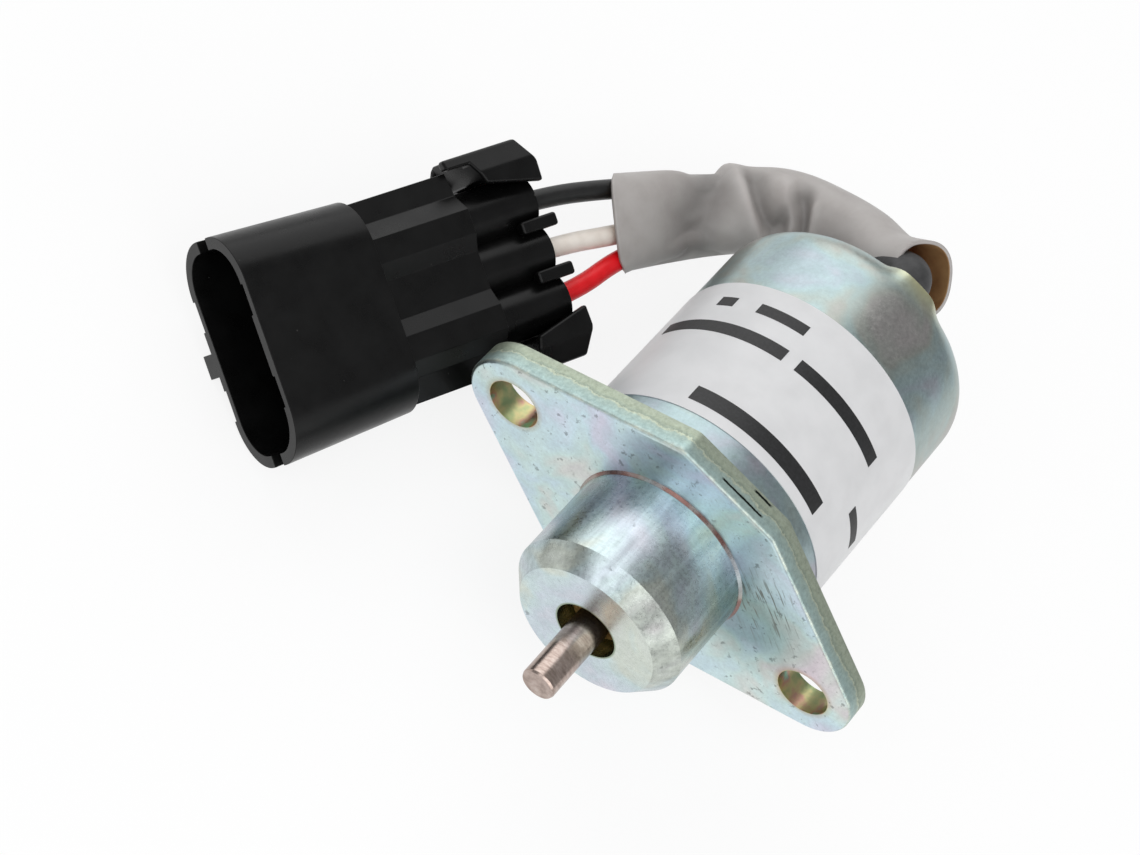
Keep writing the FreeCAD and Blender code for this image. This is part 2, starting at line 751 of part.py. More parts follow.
# Middle of the grey sleeve at each section, with its width and height there; the far end is pressed flat.
SLEEVE_SECTIONS = [
    (0.1, 52.5, 11.8, 10.7, 10.5),
    (-3.1, 55.2, 6.2, 11.0, 10.1),
    (-6.8, 58.9, 1.0, 11.6, 9.1),
    (-11.4, 61.0, -3.8, 12.0, 8.2),
    (-16.2, 60.3, -7.3, 12.3, 7.4),
    (-20.8, 57.2, -9.3, 12.4, 6.9),
    (-25.0, 52.1, -9.9, 12.5, 6.6),
    (-28.9, 45.6, -9.3, 12.9, 5.6),
    (-33.2, 37.6, -7.6, 13.6, 4.7),
]
SLEEVE_BROAD_WAY = Vector(0.71, -0.61, -0.36)


def make_leads(spout_end):
    """Three insulated leads, each a plain tube from the spout to its terminal's crimp."""
    outward = elbow_direction()
    broad = (SLEEVE_BROAD_WAY - outward * outward.dot(SLEEVE_BROAD_WAY)).normalize()
    deep = outward.cross(broad)
    angles = {"black": 180, "white": 60, "red": -60}
    for place, colour in enumerate(angles, start=-1):
        angle = math.radians(angles[colour])
        start = spout_end + (broad * math.cos(angle) + deep * math.sin(angle)) * mm("bundle_radius")
        crimp = connector_point(place, mm("crimp_rear"))
        middle = [Vector(*point) for point in LEAD_ROUTES[colour]]
        points = [start] + middle + [crimp]
        runs = [(after - before).Length for before, after in zip(points, points[1:])]
        tangents = [BEND_SHARE * min(first, second) for first, second in zip(runs, runs[1:])]
        shape, length, radii = tube(points, tangents, mm("lead_radius"))
        shape_piece("lead_" + colour, shape)
        expected = math.pi * mm("lead_radius") ** 2 * length
        print("lead_%s length %.1f mm, least radius %.1f mm, volume %.1f of %.1f mm3"
              % (colour, length, min(radii), shape.Volume, expected))
        print("  radii", ["%.1f" % radius for radius in radii])
        print("  points", [(round(point.x, 1), round(point.y, 1), round(point.z, 1)) for point in points])


def connector_point(place, along):
    """A point on the axis of one tower, in the part's own frame."""
    turn = FreeCAD.Rotation(mm("connector_yaw"), mm("connector_lean"), mm("connector_lift"))
    base = Vector(mm("connector_across"), mm("connector_along"), mm("connector_up"))
    return FreeCAD.Placement(base, turn).multVec(Vector(place * mm("tower_pitch"), along, 0))


def stadium(centre, tangent, width, height):
    """A closed wire with two straight sides and two round ends, square to the tangent."""
    across = (SLEEVE_BROAD_WAY - tangent * tangent.dot(SLEEVE_BROAD_WAY)).normalize()
    upright = tangent.cross(across)
    round_end = height / 2
    straight = width / 2 - round_end
    far = centre + across * straight
    near = centre - across * straight
    top_far = far + upright * round_end
    top_near = near + upright * round_end
    low_near = near - upright * round_end
    low_far = far - upright * round_end
    return Part.Wire([
        Part.LineSegment(top_far, top_near).toShape(),
        Part.Arc(top_near, near - across * round_end, low_near).toShape(),
        Part.LineSegment(low_near, low_far).toShape(),
        Part.Arc(low_far, far + across * round_end, top_far).toShape(),
    ])


def make_lead_sleeve():
    """Loose grey sleeve over the leads, round at the grommet and pressed flat at its far end."""
    centres = [Vector(*section[:3]) for section in SLEEVE_SECTIONS]
    ways = [(after - before).normalize() for before, after in zip(centres, centres[1:])]
    between = [(first + second).normalize() for first, second in zip(ways, ways[1:])]
    tangents = [ways[0]] + between + [ways[-1]]
    solids = []
    for wall in (0, mm("sleeve_wall")):
        wires = []
        for centre, tangent, section in zip(centres, tangents, SLEEVE_SECTIONS):
            wires.append(stadium(centre, tangent, section[3] - 2 * wall, section[4] - 2 * wall))
        solids.append(Part.makeLoft(wires, True, True))
    shape_piece("lead_sleeve", solids[0].cut(solids[1]).Solids[0])


CONNECTOR_PLACE = bound(
    "create(<<placement>>; create(<<vector>>; connector_across; connector_along; connector_up); "
    "create(<<rotation>>; connector_yaw; connector_lean; connector_lift))")


def tower_place(place):
    """The connector's placement, moved to one of its three ways."""
    step = "create(<<placement>>; create(<<vector>>; %d * tower_pitch; 0; 0); create(<<rotation>>; 0; 0; 0))"
    return CONNECTOR_PLACE + " * " + bound(step % place)


def rectangle_loft(body, name, cut, ends):
    """A tapered box between two rectangles, each given as half width, half height and place along Y."""
    sketches = []
    for number, (half_wide, half_tall, place) in enumerate(ends):
        sketch = sketch_on(body, "%s_end_%d" % (name, number), "XZ_Plane", "-(%s)" % place)
        add_polygon(sketch, box_corners(half_wide, half_tall))
        sketches.append(sketch)
    feature = body.newObject("PartDesign::SubtractiveLoft" if cut else "PartDesign::AdditiveLoft", name)
    feature.Profile = sketches[0]
    feature.Sections = sketches[1:]
    feature.Ruled = True
    return feature


def is_long_edge(edge, from_place, to_place):
    """True for an edge that runs the whole way between two places along the connector."""
    box = edge.BoundBox
    return abs(box.YMin - from_place) < 0.01 and abs(box.YMax - to_place) < 0.01


def make_connector_housing():
    """Moulded housing: a flared shroud round the blades, a stepped block and three cable towers."""
    body = new_body("connector_housing", CONNECTOR_PLACE)
    rear_wide = "(shroud_wide - shroud_taper_wide) / 2"
    rear_tall = "(shroud_tall - shroud_taper_tall) / 2"
    rectangle_loft(body, "shroud_outside", False, [
        ("shroud_wide / 2", "shroud_tall / 2", "0"),
        (rear_wide, rear_tall, "shroud_length"),
    ])
    inner_front = ("shroud_wide / 2 - shroud_wall", "shroud_tall / 2 - shroud_wall", "0")
    depth_share = "cavity_depth / shroud_length / 2"
    inner_rear = (
        "shroud_wide / 2 - shroud_wall - shroud_taper_wide * " + depth_share,
        "shroud_tall / 2 - shroud_wall - shroud_taper_tall * " + depth_share,
        "cavity_depth",
    )
    rectangle_loft(body, "cavity", True, [inner_front, inner_rear])
    dress(body, "Fillet", "cavity_corners", "shroud_corner - shroud_wall",
          lambda edge: is_long_edge(edge, 0, mm("cavity_depth")))
    dress(body, "Fillet", "shroud_corners", "shroud_corner",
          lambda edge: is_long_edge(edge, 0, mm("shroud_length")))
    block = mirrored([
        ("block_bottom_half", "-block_bottom"),
        ("block_half", "-block_side_bottom"),
        ("block_half", "block_ledge"),
        ("panel_foot", "panel_foot_height"),
        ("panel_half", "panel_height"),
        ("recess_half", "panel_height"),
        ("recess_floor_half", "recess_height"),
    ])
    prism(body, "block", lambda sketch: add_polygon(sketch, block),
          "cavity_depth", "block_rear - cavity_depth")

    for place, name in ((-1, "tower_left"), (0, "tower_middle"), (1, "tower_right")):
        across = "%d * tower_pitch" % place if place else "0"
        prism(body, name, lambda sketch, across=across: add_circle(sketch, across, "0", "tower_radius"),
              "block_rear - shroud_wall", "tower_rear - block_rear + shroud_wall")
    tab = [
        ("tab_place - tab_wide / 2", "-shroud_tall / 2 - tab_tall"),
        ("tab_place + tab_wide / 2", "-shroud_tall / 2 - tab_tall"),
        ("tab_place + tab_wide / 2", "-shroud_tall / 2 + shroud_wall / 2"),
        ("tab_place - tab_wide / 2", "-shroud_tall / 2 + shroud_wall / 2"),
    ]
    prism(body, "rest_tab", lambda sketch: add_polygon(sketch, tab), "0", "tab_long")
    for side, name in ((1, "rim_notch_right"), (-1, "rim_notch_left")):
        notch = [
            ("%d * shroud_wide / 2 - %d * 2 * shroud_wall" % (side, side), "-rim_notch / 2"),
            ("%d * shroud_wide / 2 + %d * shroud_wall" % (side, side), "-rim_notch / 2"),
            ("%d * shroud_wide / 2 + %d * shroud_wall" % (side, side), "rim_notch / 2"),
            ("%d * shroud_wide / 2 - %d * 2 * shroud_wall" % (side, side), "rim_notch / 2"),
        ]
        prism(body, name, lambda sketch, notch=notch: add_polygon(sketch, notch),
              "-shroud_wall", "shroud_wall + rim_notch_depth", cut=True)

    def draw_slits(sketch):
        for side in (1, -1):
            for edge in ("shroud_tall / 2 - shroud_wall", "-shroud_tall / 2"):
                add_polygon(sketch, [("%d * %s" % (side, across), along) for across, along in (
                    ("slit_near", edge + " - slit_deep"),
                    ("slit_far", edge + " - slit_deep"),
                    ("slit_far", edge + " + slit_deep"),
                    ("slit_near", edge + " + slit_deep"),
                )])

    def draw_channels(sketch):
        for place in (-1, 0, 1):
            add_polygon(sketch, way_corners(place, "channel_half", "channel_half"))

    def draw_slots(sketch):
        for place in (-1, 0, 1):
            add_polygon(sketch, way_corners(place, "slot_half", "slot_half_tall"))

    def draw_seal_bores(sketch):
        for place in (-1, 0, 1):
            add_circle(sketch, "%d * tower_pitch" % place if place else "0", "0", "seal_radius")

    prism(body, "rim_slits", draw_slits, "-slit_long", "2 * slit_long", cut=True)
    prism(body, "terminal_slots", draw_slots, "cavity_depth - shroud_wall",
          "channel_front - cavity_depth + 2 * shroud_wall", cut=True)
    prism(body, "terminal_channels", draw_channels, "channel_front",
          "seal_bore_front - channel_front + shroud_wall", cut=True)
    prism(body, "seal_bores", draw_seal_bores, "seal_bore_front",
          "tower_rear - seal_bore_front + shroud_wall", cut=True)


def way_corners(place, half_wide, half_tall):
    """A rectangle about the axis of one of the three ways."""
    return [("%d * tower_pitch + %s" % (place, across), along) for across, along in (
        (half_wide, "-" + half_tall),
        (half_wide, half_tall),
        ("-" + half_wide, half_tall),
        ("-" + half_wide, "-" + half_tall),
    )]


WING_TALL = "wing_side_bottom + wing_crease_height + wing_top_thick"
# The arms keep the slope of the wings from the crease to the outer edge
WING_SLOPE = "(wing_crease_height - wing_outer_top) / (wing_outer - wing_crease)"
ARM_TOP = "wing_outer_top + (wing_outer - block_half - arm_gap) * " + WING_SLOPE


def make_secondary_lock():
    """Comb over the towers: a bridge, a bar between each two, and two wings with an arm along the block."""
    body = new_body("secondary_lock", CONNECTOR_PLACE)
    bridge = [
        ("wing_side + wing_top_thick", "-bridge_bottom"),
        ("wing_side + wing_top_thick", "-bridge_top"),
        ("-wing_side - wing_top_thick", "-bridge_top"),
        ("-wing_side - wing_top_thick", "-bridge_bottom"),
    ]
    prism(body, "bridge", lambda sketch: add_polygon(sketch, bridge),
          "bridge_front", "leg_rear - bridge_front")
    for side, name in ((1, "right"), (-1, "left")):
        wing = [("%d * %s" % (side, across), along) for across, along in (
            ("wing_inner", "wing_top - wing_top_thick"),
            ("wing_inner", "wing_top"),
            ("wing_crease", "wing_crease_height"),
            ("wing_outer", "wing_outer_top"),
            ("wing_outer", "-wing_side_bottom"),
            ("wing_bottom_out", "-bridge_bottom"),
            ("wing_side", "-bridge_bottom"),
            ("wing_side", "wing_top - wing_top_thick"),
        )]
        prism(body, "wing_" + name, lambda sketch, wing=wing: add_polygon(sketch, wing),
              "wing_front", "wing_rear - wing_front")
        inner_trim = [("%d * (%s)" % (side, across), along) for across, along in (
            ("wing_inner - wing_top_thick", "wing_front - wing_top_thick"),
            ("wing_outer", "wing_front - wing_top_thick"),
            ("wing_outer", "wing_front"),
            ("wing_inner_front", "wing_front + wing_front_slant"),
            ("wing_inner", "wing_rear"),
            ("wing_inner - wing_top_thick", "wing_rear"),
        )]
        slab(body, "inner_trim_" + name, inner_trim, "-wing_side_bottom", WING_TALL, cut=True)
        rear_trim = [("%d * (%s)" % (side, across), along) for across, along in (
            ("wing_rear_flat", "wing_rear"),
            ("wing_outer", "wing_rear - wing_rear_slant"),
            ("wing_outer + wing_top_thick", "wing_rear - wing_rear_slant"),
            ("wing_outer + wing_top_thick", "wing_rear + wing_top_thick"),
            ("wing_rear_flat", "wing_rear + wing_top_thick"),
        )]
        slab(body, "rear_trim_" + name, rear_trim, "-wing_side_bottom", WING_TALL, cut=True)
        arm = [("%d * (%s)" % (side, across), along) for across, along in (
            ("block_half + arm_gap", "wing_outer_top - arm_thick"),
            ("wing_outer", "wing_outer_top - arm_thick"),
            ("wing_outer", "wing_outer_top"),
            ("block_half + arm_gap", ARM_TOP),
        )]
        prism(body, "arm_" + name, lambda sketch, arm=arm: add_polygon(sketch, arm),
              "arm_front", "wing_front + wing_front_slant - arm_front")
        bar = [("%d * (%s)" % (side, across), along) for across, along in (
            ("bar_place - bar_half", "bar_top"),
            ("bar_place + bar_half", "bar_top"),
            ("bar_place + bar_half", "bar_top - bar_half"),
            ("bar_place + bar_foot_half", "bar_foot"),
            ("bar_place - bar_foot_half", "bar_foot"),
            ("bar_place - bar_half", "bar_top - bar_half"),
        )]
        prism(body, "bar_" + name, lambda sketch, bar=bar: add_polygon(sketch, bar),
              "bar_front", "leg_rear - bar_front")
        leg = [("%d * (%s)" % (side, across), along) for across, along in (
            ("bar_place - bar_half", "bar_top"),
            ("bar_place + bar_half", "bar_top"),
            ("bar_place + bar_half", "-bridge_top"),
            ("bar_place - bar_half", "-bridge_top"),
        )]
        prism(body, "leg_" + name, lambda sketch, leg=leg: add_polygon(sketch, leg),
              "leg_front", "leg_rear - leg_front")


def make_ways():
    """A seal and a terminal for each of the three leads."""
    rib = "seal_radius"
    groove = "seal_radius - seal_groove"
    for place, colour in ((-1, "black"), (0, "white"), (1, "red")):
        turned("cable_seal_" + colour, [
            ("lead_radius + seal_bore_gap", "seal_front"),
            (rib, "seal_front"),
            (rib, "seal_front + seal_land"),
            (groove, "seal_front + 1.5 * seal_land"),
            (groove, "seal_front + 2 * seal_land"),
            (rib, "seal_front + 2.5 * seal_land"),
            (rib, "seal_front + 3.5 * seal_land"),
            (groove, "seal_front + 4 * seal_land"),
            (groove, "seal_front + 4.5 * seal_land"),
            (rib, "seal_front + 5 * seal_land"),
            (rib, "seal_front + seal_length"),
            ("lead_radius + seal_bore_gap", "seal_front + seal_length"),
        ], tower_place(place))
        body = new_body("terminal_" + colour, tower_place(place))
        slab(body, "blade_" + colour, [
            ("blade_half / 2", "blade_front"),
            ("blade_half", "blade_front + blade_point"),
            ("blade_half", "channel_front + blade_point"),
            ("-blade_half", "channel_front + blade_point"),
            ("-blade_half", "blade_front + blade_point"),
            ("-blade_half / 2", "blade_front"),
        ], "-blade_half_thick", "2 * blade_half_thick")
        prism(body, "box_" + colour, lambda sketch: add_polygon(sketch, box_corners("box_half", "box_half")),
              "channel_front", "box_rear - channel_front")
        prism(body, "crimp_" + colour, lambda sketch: add_circle(sketch, "0", "0", "crimp_radius"),
              "box_rear - blade_point", "crimp_rear - box_rear + blade_point")


def check_and_write():
    """Stops at any failed object or shape, then writes each node to its own file."""
    doc.recompute()
    for item in doc.Objects:
        if "Invalid" in item.State or "Error" in item.State:
            raise RuntimeError("%s is in state %s" % (item.Name, item.State))
    for piece in PIECES:
        shape = piece.Shape
        if shape.isNull() or not shape.isValid() or len(shape.Solids) != 1:
            raise RuntimeError("%s has no single valid solid" % piece.Label)
    for piece in PIECES:
        piece.Shape.exportStep("parts/%s.step" % piece.Label)


make_case_can()
make_mounting_flange()
make_nose_and_pin()
make_magnetic_circuit()
make_return_spring()
make_coil()
make_rear_cap()
make_foil()
make_leads(make_lead_grommet())
make_lead_sleeve()
make_connector_housing()
make_secondary_lock()
make_ways()
check_and_write()
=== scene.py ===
import math

import bmesh
import bpy
from mathutils import Matrix, Vector, kdtree


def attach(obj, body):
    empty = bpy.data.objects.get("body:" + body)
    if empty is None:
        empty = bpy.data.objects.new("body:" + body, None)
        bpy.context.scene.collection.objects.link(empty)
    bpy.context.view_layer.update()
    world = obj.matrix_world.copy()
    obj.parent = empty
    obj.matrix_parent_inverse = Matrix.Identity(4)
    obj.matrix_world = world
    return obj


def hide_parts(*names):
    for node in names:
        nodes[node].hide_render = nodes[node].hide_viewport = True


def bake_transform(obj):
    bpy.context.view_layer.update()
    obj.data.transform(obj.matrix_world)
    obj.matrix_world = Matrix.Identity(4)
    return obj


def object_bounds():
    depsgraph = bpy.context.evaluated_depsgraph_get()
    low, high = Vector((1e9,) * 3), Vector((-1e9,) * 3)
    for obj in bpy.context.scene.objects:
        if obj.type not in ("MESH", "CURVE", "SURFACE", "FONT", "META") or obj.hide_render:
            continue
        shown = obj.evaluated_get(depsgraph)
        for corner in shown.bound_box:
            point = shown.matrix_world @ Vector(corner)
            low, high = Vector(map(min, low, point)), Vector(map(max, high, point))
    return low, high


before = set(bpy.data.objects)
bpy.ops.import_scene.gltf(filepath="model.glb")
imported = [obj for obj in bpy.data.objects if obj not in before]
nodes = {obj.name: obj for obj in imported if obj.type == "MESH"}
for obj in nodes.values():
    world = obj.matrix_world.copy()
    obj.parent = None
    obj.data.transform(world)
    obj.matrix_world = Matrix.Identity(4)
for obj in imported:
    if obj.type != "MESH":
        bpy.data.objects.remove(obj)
cad_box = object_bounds()

# The camera looks down on the nose from the front, as the photograph does, and is rolled so that
# the plunger axis runs from the lower left to the upper right. Its place was fitted to the edges.
photo_right = Vector((0.70704, 0.58096, 0.40321))
photo_up = Vector((-0.70611, 0.61116, 0.35761))
photo_back = Vector((-0.03867, -0.53756, 0.84234))
photo_spot = (-0.03311, -0.19296, 0.30793)
camera_data = bpy.data.cameras.new("product_camera")
camera_data.sensor_width = 36
camera_data.lens = 89.70
camera_data.clip_start = 0.01
camera_data.clip_end = 30
camera = bpy.data.objects.new("product_camera", camera_data)
camera_place = Matrix((photo_right, photo_up, photo_back)).transposed().to_4x4()
camera_place.translation = photo_spot
camera.matrix_world = camera_place
bpy.context.scene.collection.objects.link(camera)
bpy.context.scene.camera = camera
bpy.context.scene.view_settings.view_transform = "Standard"


# Nose piece: turned from free-cutting steel bar, brazed into the flange and zinc plated, then dipped in
# an iridescent chromate. The braze shows as a thin copper-pink line round its root.
def linear(colour):
    """An sRGB hex colour as the linear values of a shader socket."""
    channels = [int(colour[place:place + 2], 16) / 255 for place in (1, 3, 5)]
    return [c / 12.92 if c <= 0.04045 else ((c + 0.055) / 1.055) ** 2.4 for c in channels] + [1]


def add(tree, kind, settings=None, links=None):
    """One node: settings are its sockets, properties or ramp stops, and links are what feeds its sockets."""
    node = tree.nodes.new(kind)
    for name, value in (settings or {}).items():
        if name == "stops":
            elements = node.color_ramp.elements
            while len(elements) < len(value):
                elements.new(1)
            for element, (place, colour) in zip(elements, value):
                element.position = place
                element.color = linear(colour)
        elif isinstance(name, int) or name in node.inputs:
            node.inputs[name].default_value = value
        else:
            setattr(node, name, value)
    for name, source in (links or {}).items():
        tree.links.new(source, node.inputs[name])
    return node


def new_finish(name, settings):
    """A material with one Principled shader, and the piece's own object coordinates for its patterns."""
    material = bpy.data.materials.new(name)
    material.use_nodes = True
    tree = material.node_tree
    tree.nodes.clear()
    shader = add(tree, "ShaderNodeBsdfPrincipled", settings)
    add(tree, "ShaderNodeOutputMaterial", links={"Surface": shader.outputs[0]})
    place = add(tree, "ShaderNodeTexCoord").outputs["Object"]
    return material, tree, shader, place


def coat(name, material):
    """Gives a CAD node its finish."""
    for holder in nodes[name].material_slots:
        holder.material = material


# A noise seldom leaves this range, so a map from it uses the whole of its own range
noise_range = {"From Min": 0.3, "From Max": 0.7}


def chromated_zinc(name, patch, roughness, pits, tints):
    """Zinc plate under an iridescent film: the tints drift over patches of that size, the grain is satin,
    and pits lie in clusters, the more the lower that level. Gives the tone too, for a piece's own marks."""
    cloud_size, grain_size, pit_size = 0.0035, 0.0006, 0.0011
    material, tree, shader, place = new_finish(name, {"Metallic": 1.0, "Roughness": roughness})
    drift = add(tree, "ShaderNodeTexNoise",
                {"Scale": 1 / patch, "Detail": 3, "Roughness": 0.55, "Distortion": 0.5}, {"Vector": place})
    film = add(tree, "ShaderNodeValToRGB", {"stops": tints}, {"Fac": drift.outputs[0]})
    cloud = add(tree, "ShaderNodeTexNoise", {"Scale": 1 / cloud_size, "Detail": 3, "Roughness": 0.6},
                {"Vector": place})
    clouded = add(tree, "ShaderNodeMapRange", {**noise_range, "To Min": 0.91, "To Max": 1.06},
                  {"Value": cloud.outputs[0]})
    grain = add(tree, "ShaderNodeTexNoise", {"Scale": 1 / grain_size, "Detail": 5, "Roughness": 0.8},
                {"Vector": place})
    grained = add(tree, "ShaderNodeMapRange", {**noise_range, "To Min": 0.83, "To Max": 1.10},
                  {"Value": grain.outputs[0]})
    pit = add(tree, "ShaderNodeTexNoise", {"Scale": 1 / pit_size, "Detail": 3, "Roughness": 0.6},
              {"Vector": place})
    pitted = add(tree, "ShaderNodeMapRange", {"From Min": 0.59, "From Max": 0.64}, {"Value": pit.outputs[0]})
    cluster = add(tree, "ShaderNodeMapRange", {"From Min": pits, "From Max": pits + 0.1},
                  {"Value": cloud.outputs[0]})
    dark = add(tree, "ShaderNodeMath", {"operation": "MULTIPLY"},
               {0: pitted.outputs[0], 1: cluster.outputs[0]})
    clean = add(tree, "ShaderNodeMapRange", {"To Min": 1.0, "To Max": 0.55}, {"Value": dark.outputs[0]})
    shade = add(tree, "ShaderNodeMath", {"operation": "MULTIPLY"},
                {0: clouded.outputs[0], 1: grained.outputs[0]})
    shade = add(tree, "ShaderNodeMath", {"operation": "MULTIPLY"}, {0: shade.outputs[0], 1: clean.outputs[0]})
    tone = add(tree, "ShaderNodeVectorMath", {"operation": "SCALE"},
               {0: film.outputs[0], "Scale": shade.outputs[0]})
    tree.links.new(tone.outputs[0], shader.inputs["Base Color"])
    satin = add(tree, "ShaderNodeMapRange",
                {**noise_range, "To Min": roughness - 0.06, "To Max": roughness + 0.08},
                {"Value": grain.outputs[0]})
    tree.links.new(satin.outputs[0], shader.inputs["Roughness"])
    bump = add(tree, "ShaderNodeBump", {"Strength": 0.25, "Distance": 0.00004}, {"Height": grain.outputs[0]})
    tree.links.new(bump.outputs[0], shader.inputs["Normal"])
    return material, tree, shader, place, tone.outputs[0]


def from_axis(tree, place, centre=(0, 0, 0)):
    """Distance from a line through that centre that runs along the plunger."""
    moved = add(tree, "ShaderNodeVectorMath", {"operation": "SUBTRACT", 1: centre}, {0: place})
    flat = add(tree, "ShaderNodeVectorMath", {"operation": "MULTIPLY", 1: (1, 0, 1)}, {0: moved.outputs[0]})
    return add(tree, "ShaderNodeVectorMath", {"operation": "LENGTH"}, {0: flat.outputs[0]}).outputs["Value"]


# The film on turned steel is bright: silver, with faint blue, green and pink
turned_zinc, tree, shader, place, tone = chromated_zinc(
    "turned_steel_chromated_zinc", patch=0.014, roughness=0.28, pits=0.60, tints=[
        (0.30, "#cac9d2"), (0.42, "#c0cad2"), (0.50, "#bfcfd0"), (0.57, "#c6cdc4"), (0.64, "#c8cec8"),
        (0.74, "#cfc8cc")])
bore_radius = 0.0045
braze_height = 0.00038

# The tool's feed leaves rings across the axis. The light and dark streaks along it are painted reflection
# bands.
ring_room = add(tree, "ShaderNodeMapping", {"Scale": (0.12, 1, 0.12)}, {"Vector": place})
rings = add(tree, "ShaderNodeTexNoise", {"Scale": 1 / 0.0003, "Detail": 2}, {"Vector": ring_room.outputs[0]})
turned = add(tree, "ShaderNodeMapRange", {**noise_range, "To Min": 0.94, "To Max": 1.04},
             {"Value": rings.outputs[0]})
# Painted reflection bands along the axis of the turned side
reflection_band_room = add(tree, "ShaderNodeMapping", {"Scale": (1, 0.12, 1)}, {"Vector": place})
reflection_band_noise = add(tree, "ShaderNodeTexNoise", {"Scale": 1 / 0.0016, "Detail": 4, "Roughness": 0.65},
              {"Vector": reflection_band_room.outputs[0]})
painted_reflection_bands = add(tree, "ShaderNodeMapRange", {**noise_range, "To Min": 0.70, "To Max": 1.12},
               {"Value": reflection_band_noise.outputs[0]})
rings_and_reflection_bands = add(tree, "ShaderNodeMath", {"operation": "MULTIPLY"},
             {0: painted_reflection_bands.outputs[0], 1: turned.outputs[0]})
body_tone = add(tree, "ShaderNodeVectorMath", {"operation": "SCALE"}, {0: tone, "Scale": rings_and_reflection_bands.outputs[0]})

# The end that faces forward is painted paler than the turned side, as painted reflection on it
normal = add(tree, "ShaderNodeTexCoord").outputs["Normal"]
facing = add(tree, "ShaderNodeSeparateXYZ", links={"Vector": normal})
forward_end_mask = add(tree, "ShaderNodeMapRange", {"From Min": -0.90, "From Max": -0.98},
            {"Value": facing.outputs["Y"]})
painted_light_end_tone = add(tree, "ShaderNodeVectorMath", {"operation": "SCALE", "Scale": 1.16}, {0: tone})
tone_with_lit_end = add(tree, "ShaderNodeMix", {"data_type": "RGBA"},
                {0: forward_end_mask.outputs[0], 6: body_tone.outputs[0], 7: painted_light_end_tone.outputs[0]})

# The braze stands out of the joint by a hair, more in some places than in others
axial = add(tree, "ShaderNodeSeparateXYZ", links={"Vector": place}).outputs["Y"]
root = add(tree, "ShaderNodeMapRange", {"From Min": -braze_height - 0.0001, "From Max": -braze_height},
           {"Value": axial})
flow = add(tree, "ShaderNodeTexNoise", {"Scale": 1 / 0.006, "Detail": 2}, {"Vector": place})
flowed = add(tree, "ShaderNodeMapRange", {"From Min": 0.42, "From Max": 0.56, "To Min": 0.15},
             {"Value": flow.outputs[0]})
braze = add(tree, "ShaderNodeMath", {"operation": "MULTIPLY"}, {0: root.outputs[0], 1: flowed.outputs[0]})
brazed = add(tree, "ShaderNodeMix", {"data_type": "RGBA", 7: linear("#8b6b65")},
             {0: braze.outputs[0], 6: tone_with_lit_end.outputs[2]})

# Little of the film forms in the bore, so its wall is a dull grey green
bore = add(tree, "ShaderNodeMapRange", {"From Min": bore_radius + 0.0002, "From Max": bore_radius},
           {"Value": from_axis(tree, place)})
bored = add(tree, "ShaderNodeMix", {"data_type": "RGBA", 7: linear("#93a08c")},
            {0: bore.outputs[0], 6: brazed.outputs[2]})
tree.links.new(bored.outputs[2], shader.inputs["Base Color"])
coat("nose_piece", turned_zinc)


# Guide bush and push pin: a sintered bronze sleeve pressed into the nose, and a ground stainless pin
# that slides in it. The pin's brown cast and its fine rings come from running in the oily bronze.
def mottled(name, settings, tints, patch, detail=3, harshness=0.5, stretch=None, relief=None):
    """A finish whose tints drift over patches of that size, in a room scaled by the stretch, if there is one.
    The relief is the strength and depth in metres of a bump that follows the same pattern."""
    material, tree, shader, place = new_finish(name, settings)
    if stretch:
        place = add(tree, "ShaderNodeMapping", {"Scale": stretch}, {"Vector": place}).outputs[0]
    drift = add(tree, "ShaderNodeTexNoise", {"Scale": 1 / patch, "Detail": detail, "Roughness": harshness},
                {"Vector": place})
    tint = add(tree, "ShaderNodeValToRGB", {"stops": tints}, {"Fac": drift.outputs[0]})
    tree.links.new(tint.outputs[0], shader.inputs["Base Color"])
    if relief:
        bump = add(tree, "ShaderNodeBump", {"Strength": relief[0], "Distance": relief[1]},
                   {"Height": drift.outputs[0]})
        tree.links.new(bump.outputs[0], shader.inputs["Normal"])
    return material


# Pores full of oil darken the bronze
bush_bronze = mottled("oil_filled_sintered_bronze", {"Metallic": 1.0, "Roughness": 0.45},
                      [(0.35, "#6b4a26"), (0.55, "#9a7442"), (0.75, "#b58f55")], patch=0.0005, harshness=0.6)
coat("guide_bush", bush_bronze)

# Grinding leaves rings round the pin
ground_stainless = mottled("ground_stainless_steel", {"Metallic": 1.0, "Roughness": 0.26},
                           [(0.32, "#95857c"), (0.5, "#b09f96"), (0.68, "#c2b3ab")],
                           patch=0.0005, harshness=0.7, stretch=(0.3, 1, 0.3), relief=(0.2, 0.00003))
coat("push_pin", ground_stainless)


# Mounting flange: stamped from 4 mm strip, so its front edge is rolled over, its side shows a smooth
# sheared band and a torn one, and the holes are punched. It is plated together with the nose.
flange_thick = 0.004
flange_top = 0.0190
hole_half_spacing = 0.02625
hole_radius = 0.00375
# Middle of the painted shade and reflection of the nose on the flange
nose_shade_spot = (0.0135, 0, 0.0030)
scored_spot = (0.0140, 0, 0.0075)
score_slope = math.radians(36)
# Each tear: its depth behind the front face, its start and end across, and its half width
tears = ((0.00145, -0.0022, 0.0050, 0.00020), (0.00355, 0.0018, 0.0050, 0.00022))

# On the smooth strip the film is thick enough for clear tints of blue, green, grey and pink
stamped_zinc, tree, shader, place, tone = chromated_zinc(
    "stamped_steel_chromated_zinc", patch=0.015, roughness=0.34, pits=0.44, tints=[
        (0.30, "#dbd6e6"), (0.40, "#d3dae8"), (0.48, "#cde2ea"), (0.55, "#cfe4e2"), (0.62, "#d6dad6"),
        (0.72, "#dcd0d8")])
across, along, upward = add(tree, "ShaderNodeSeparateXYZ", links={"Vector": place}).outputs
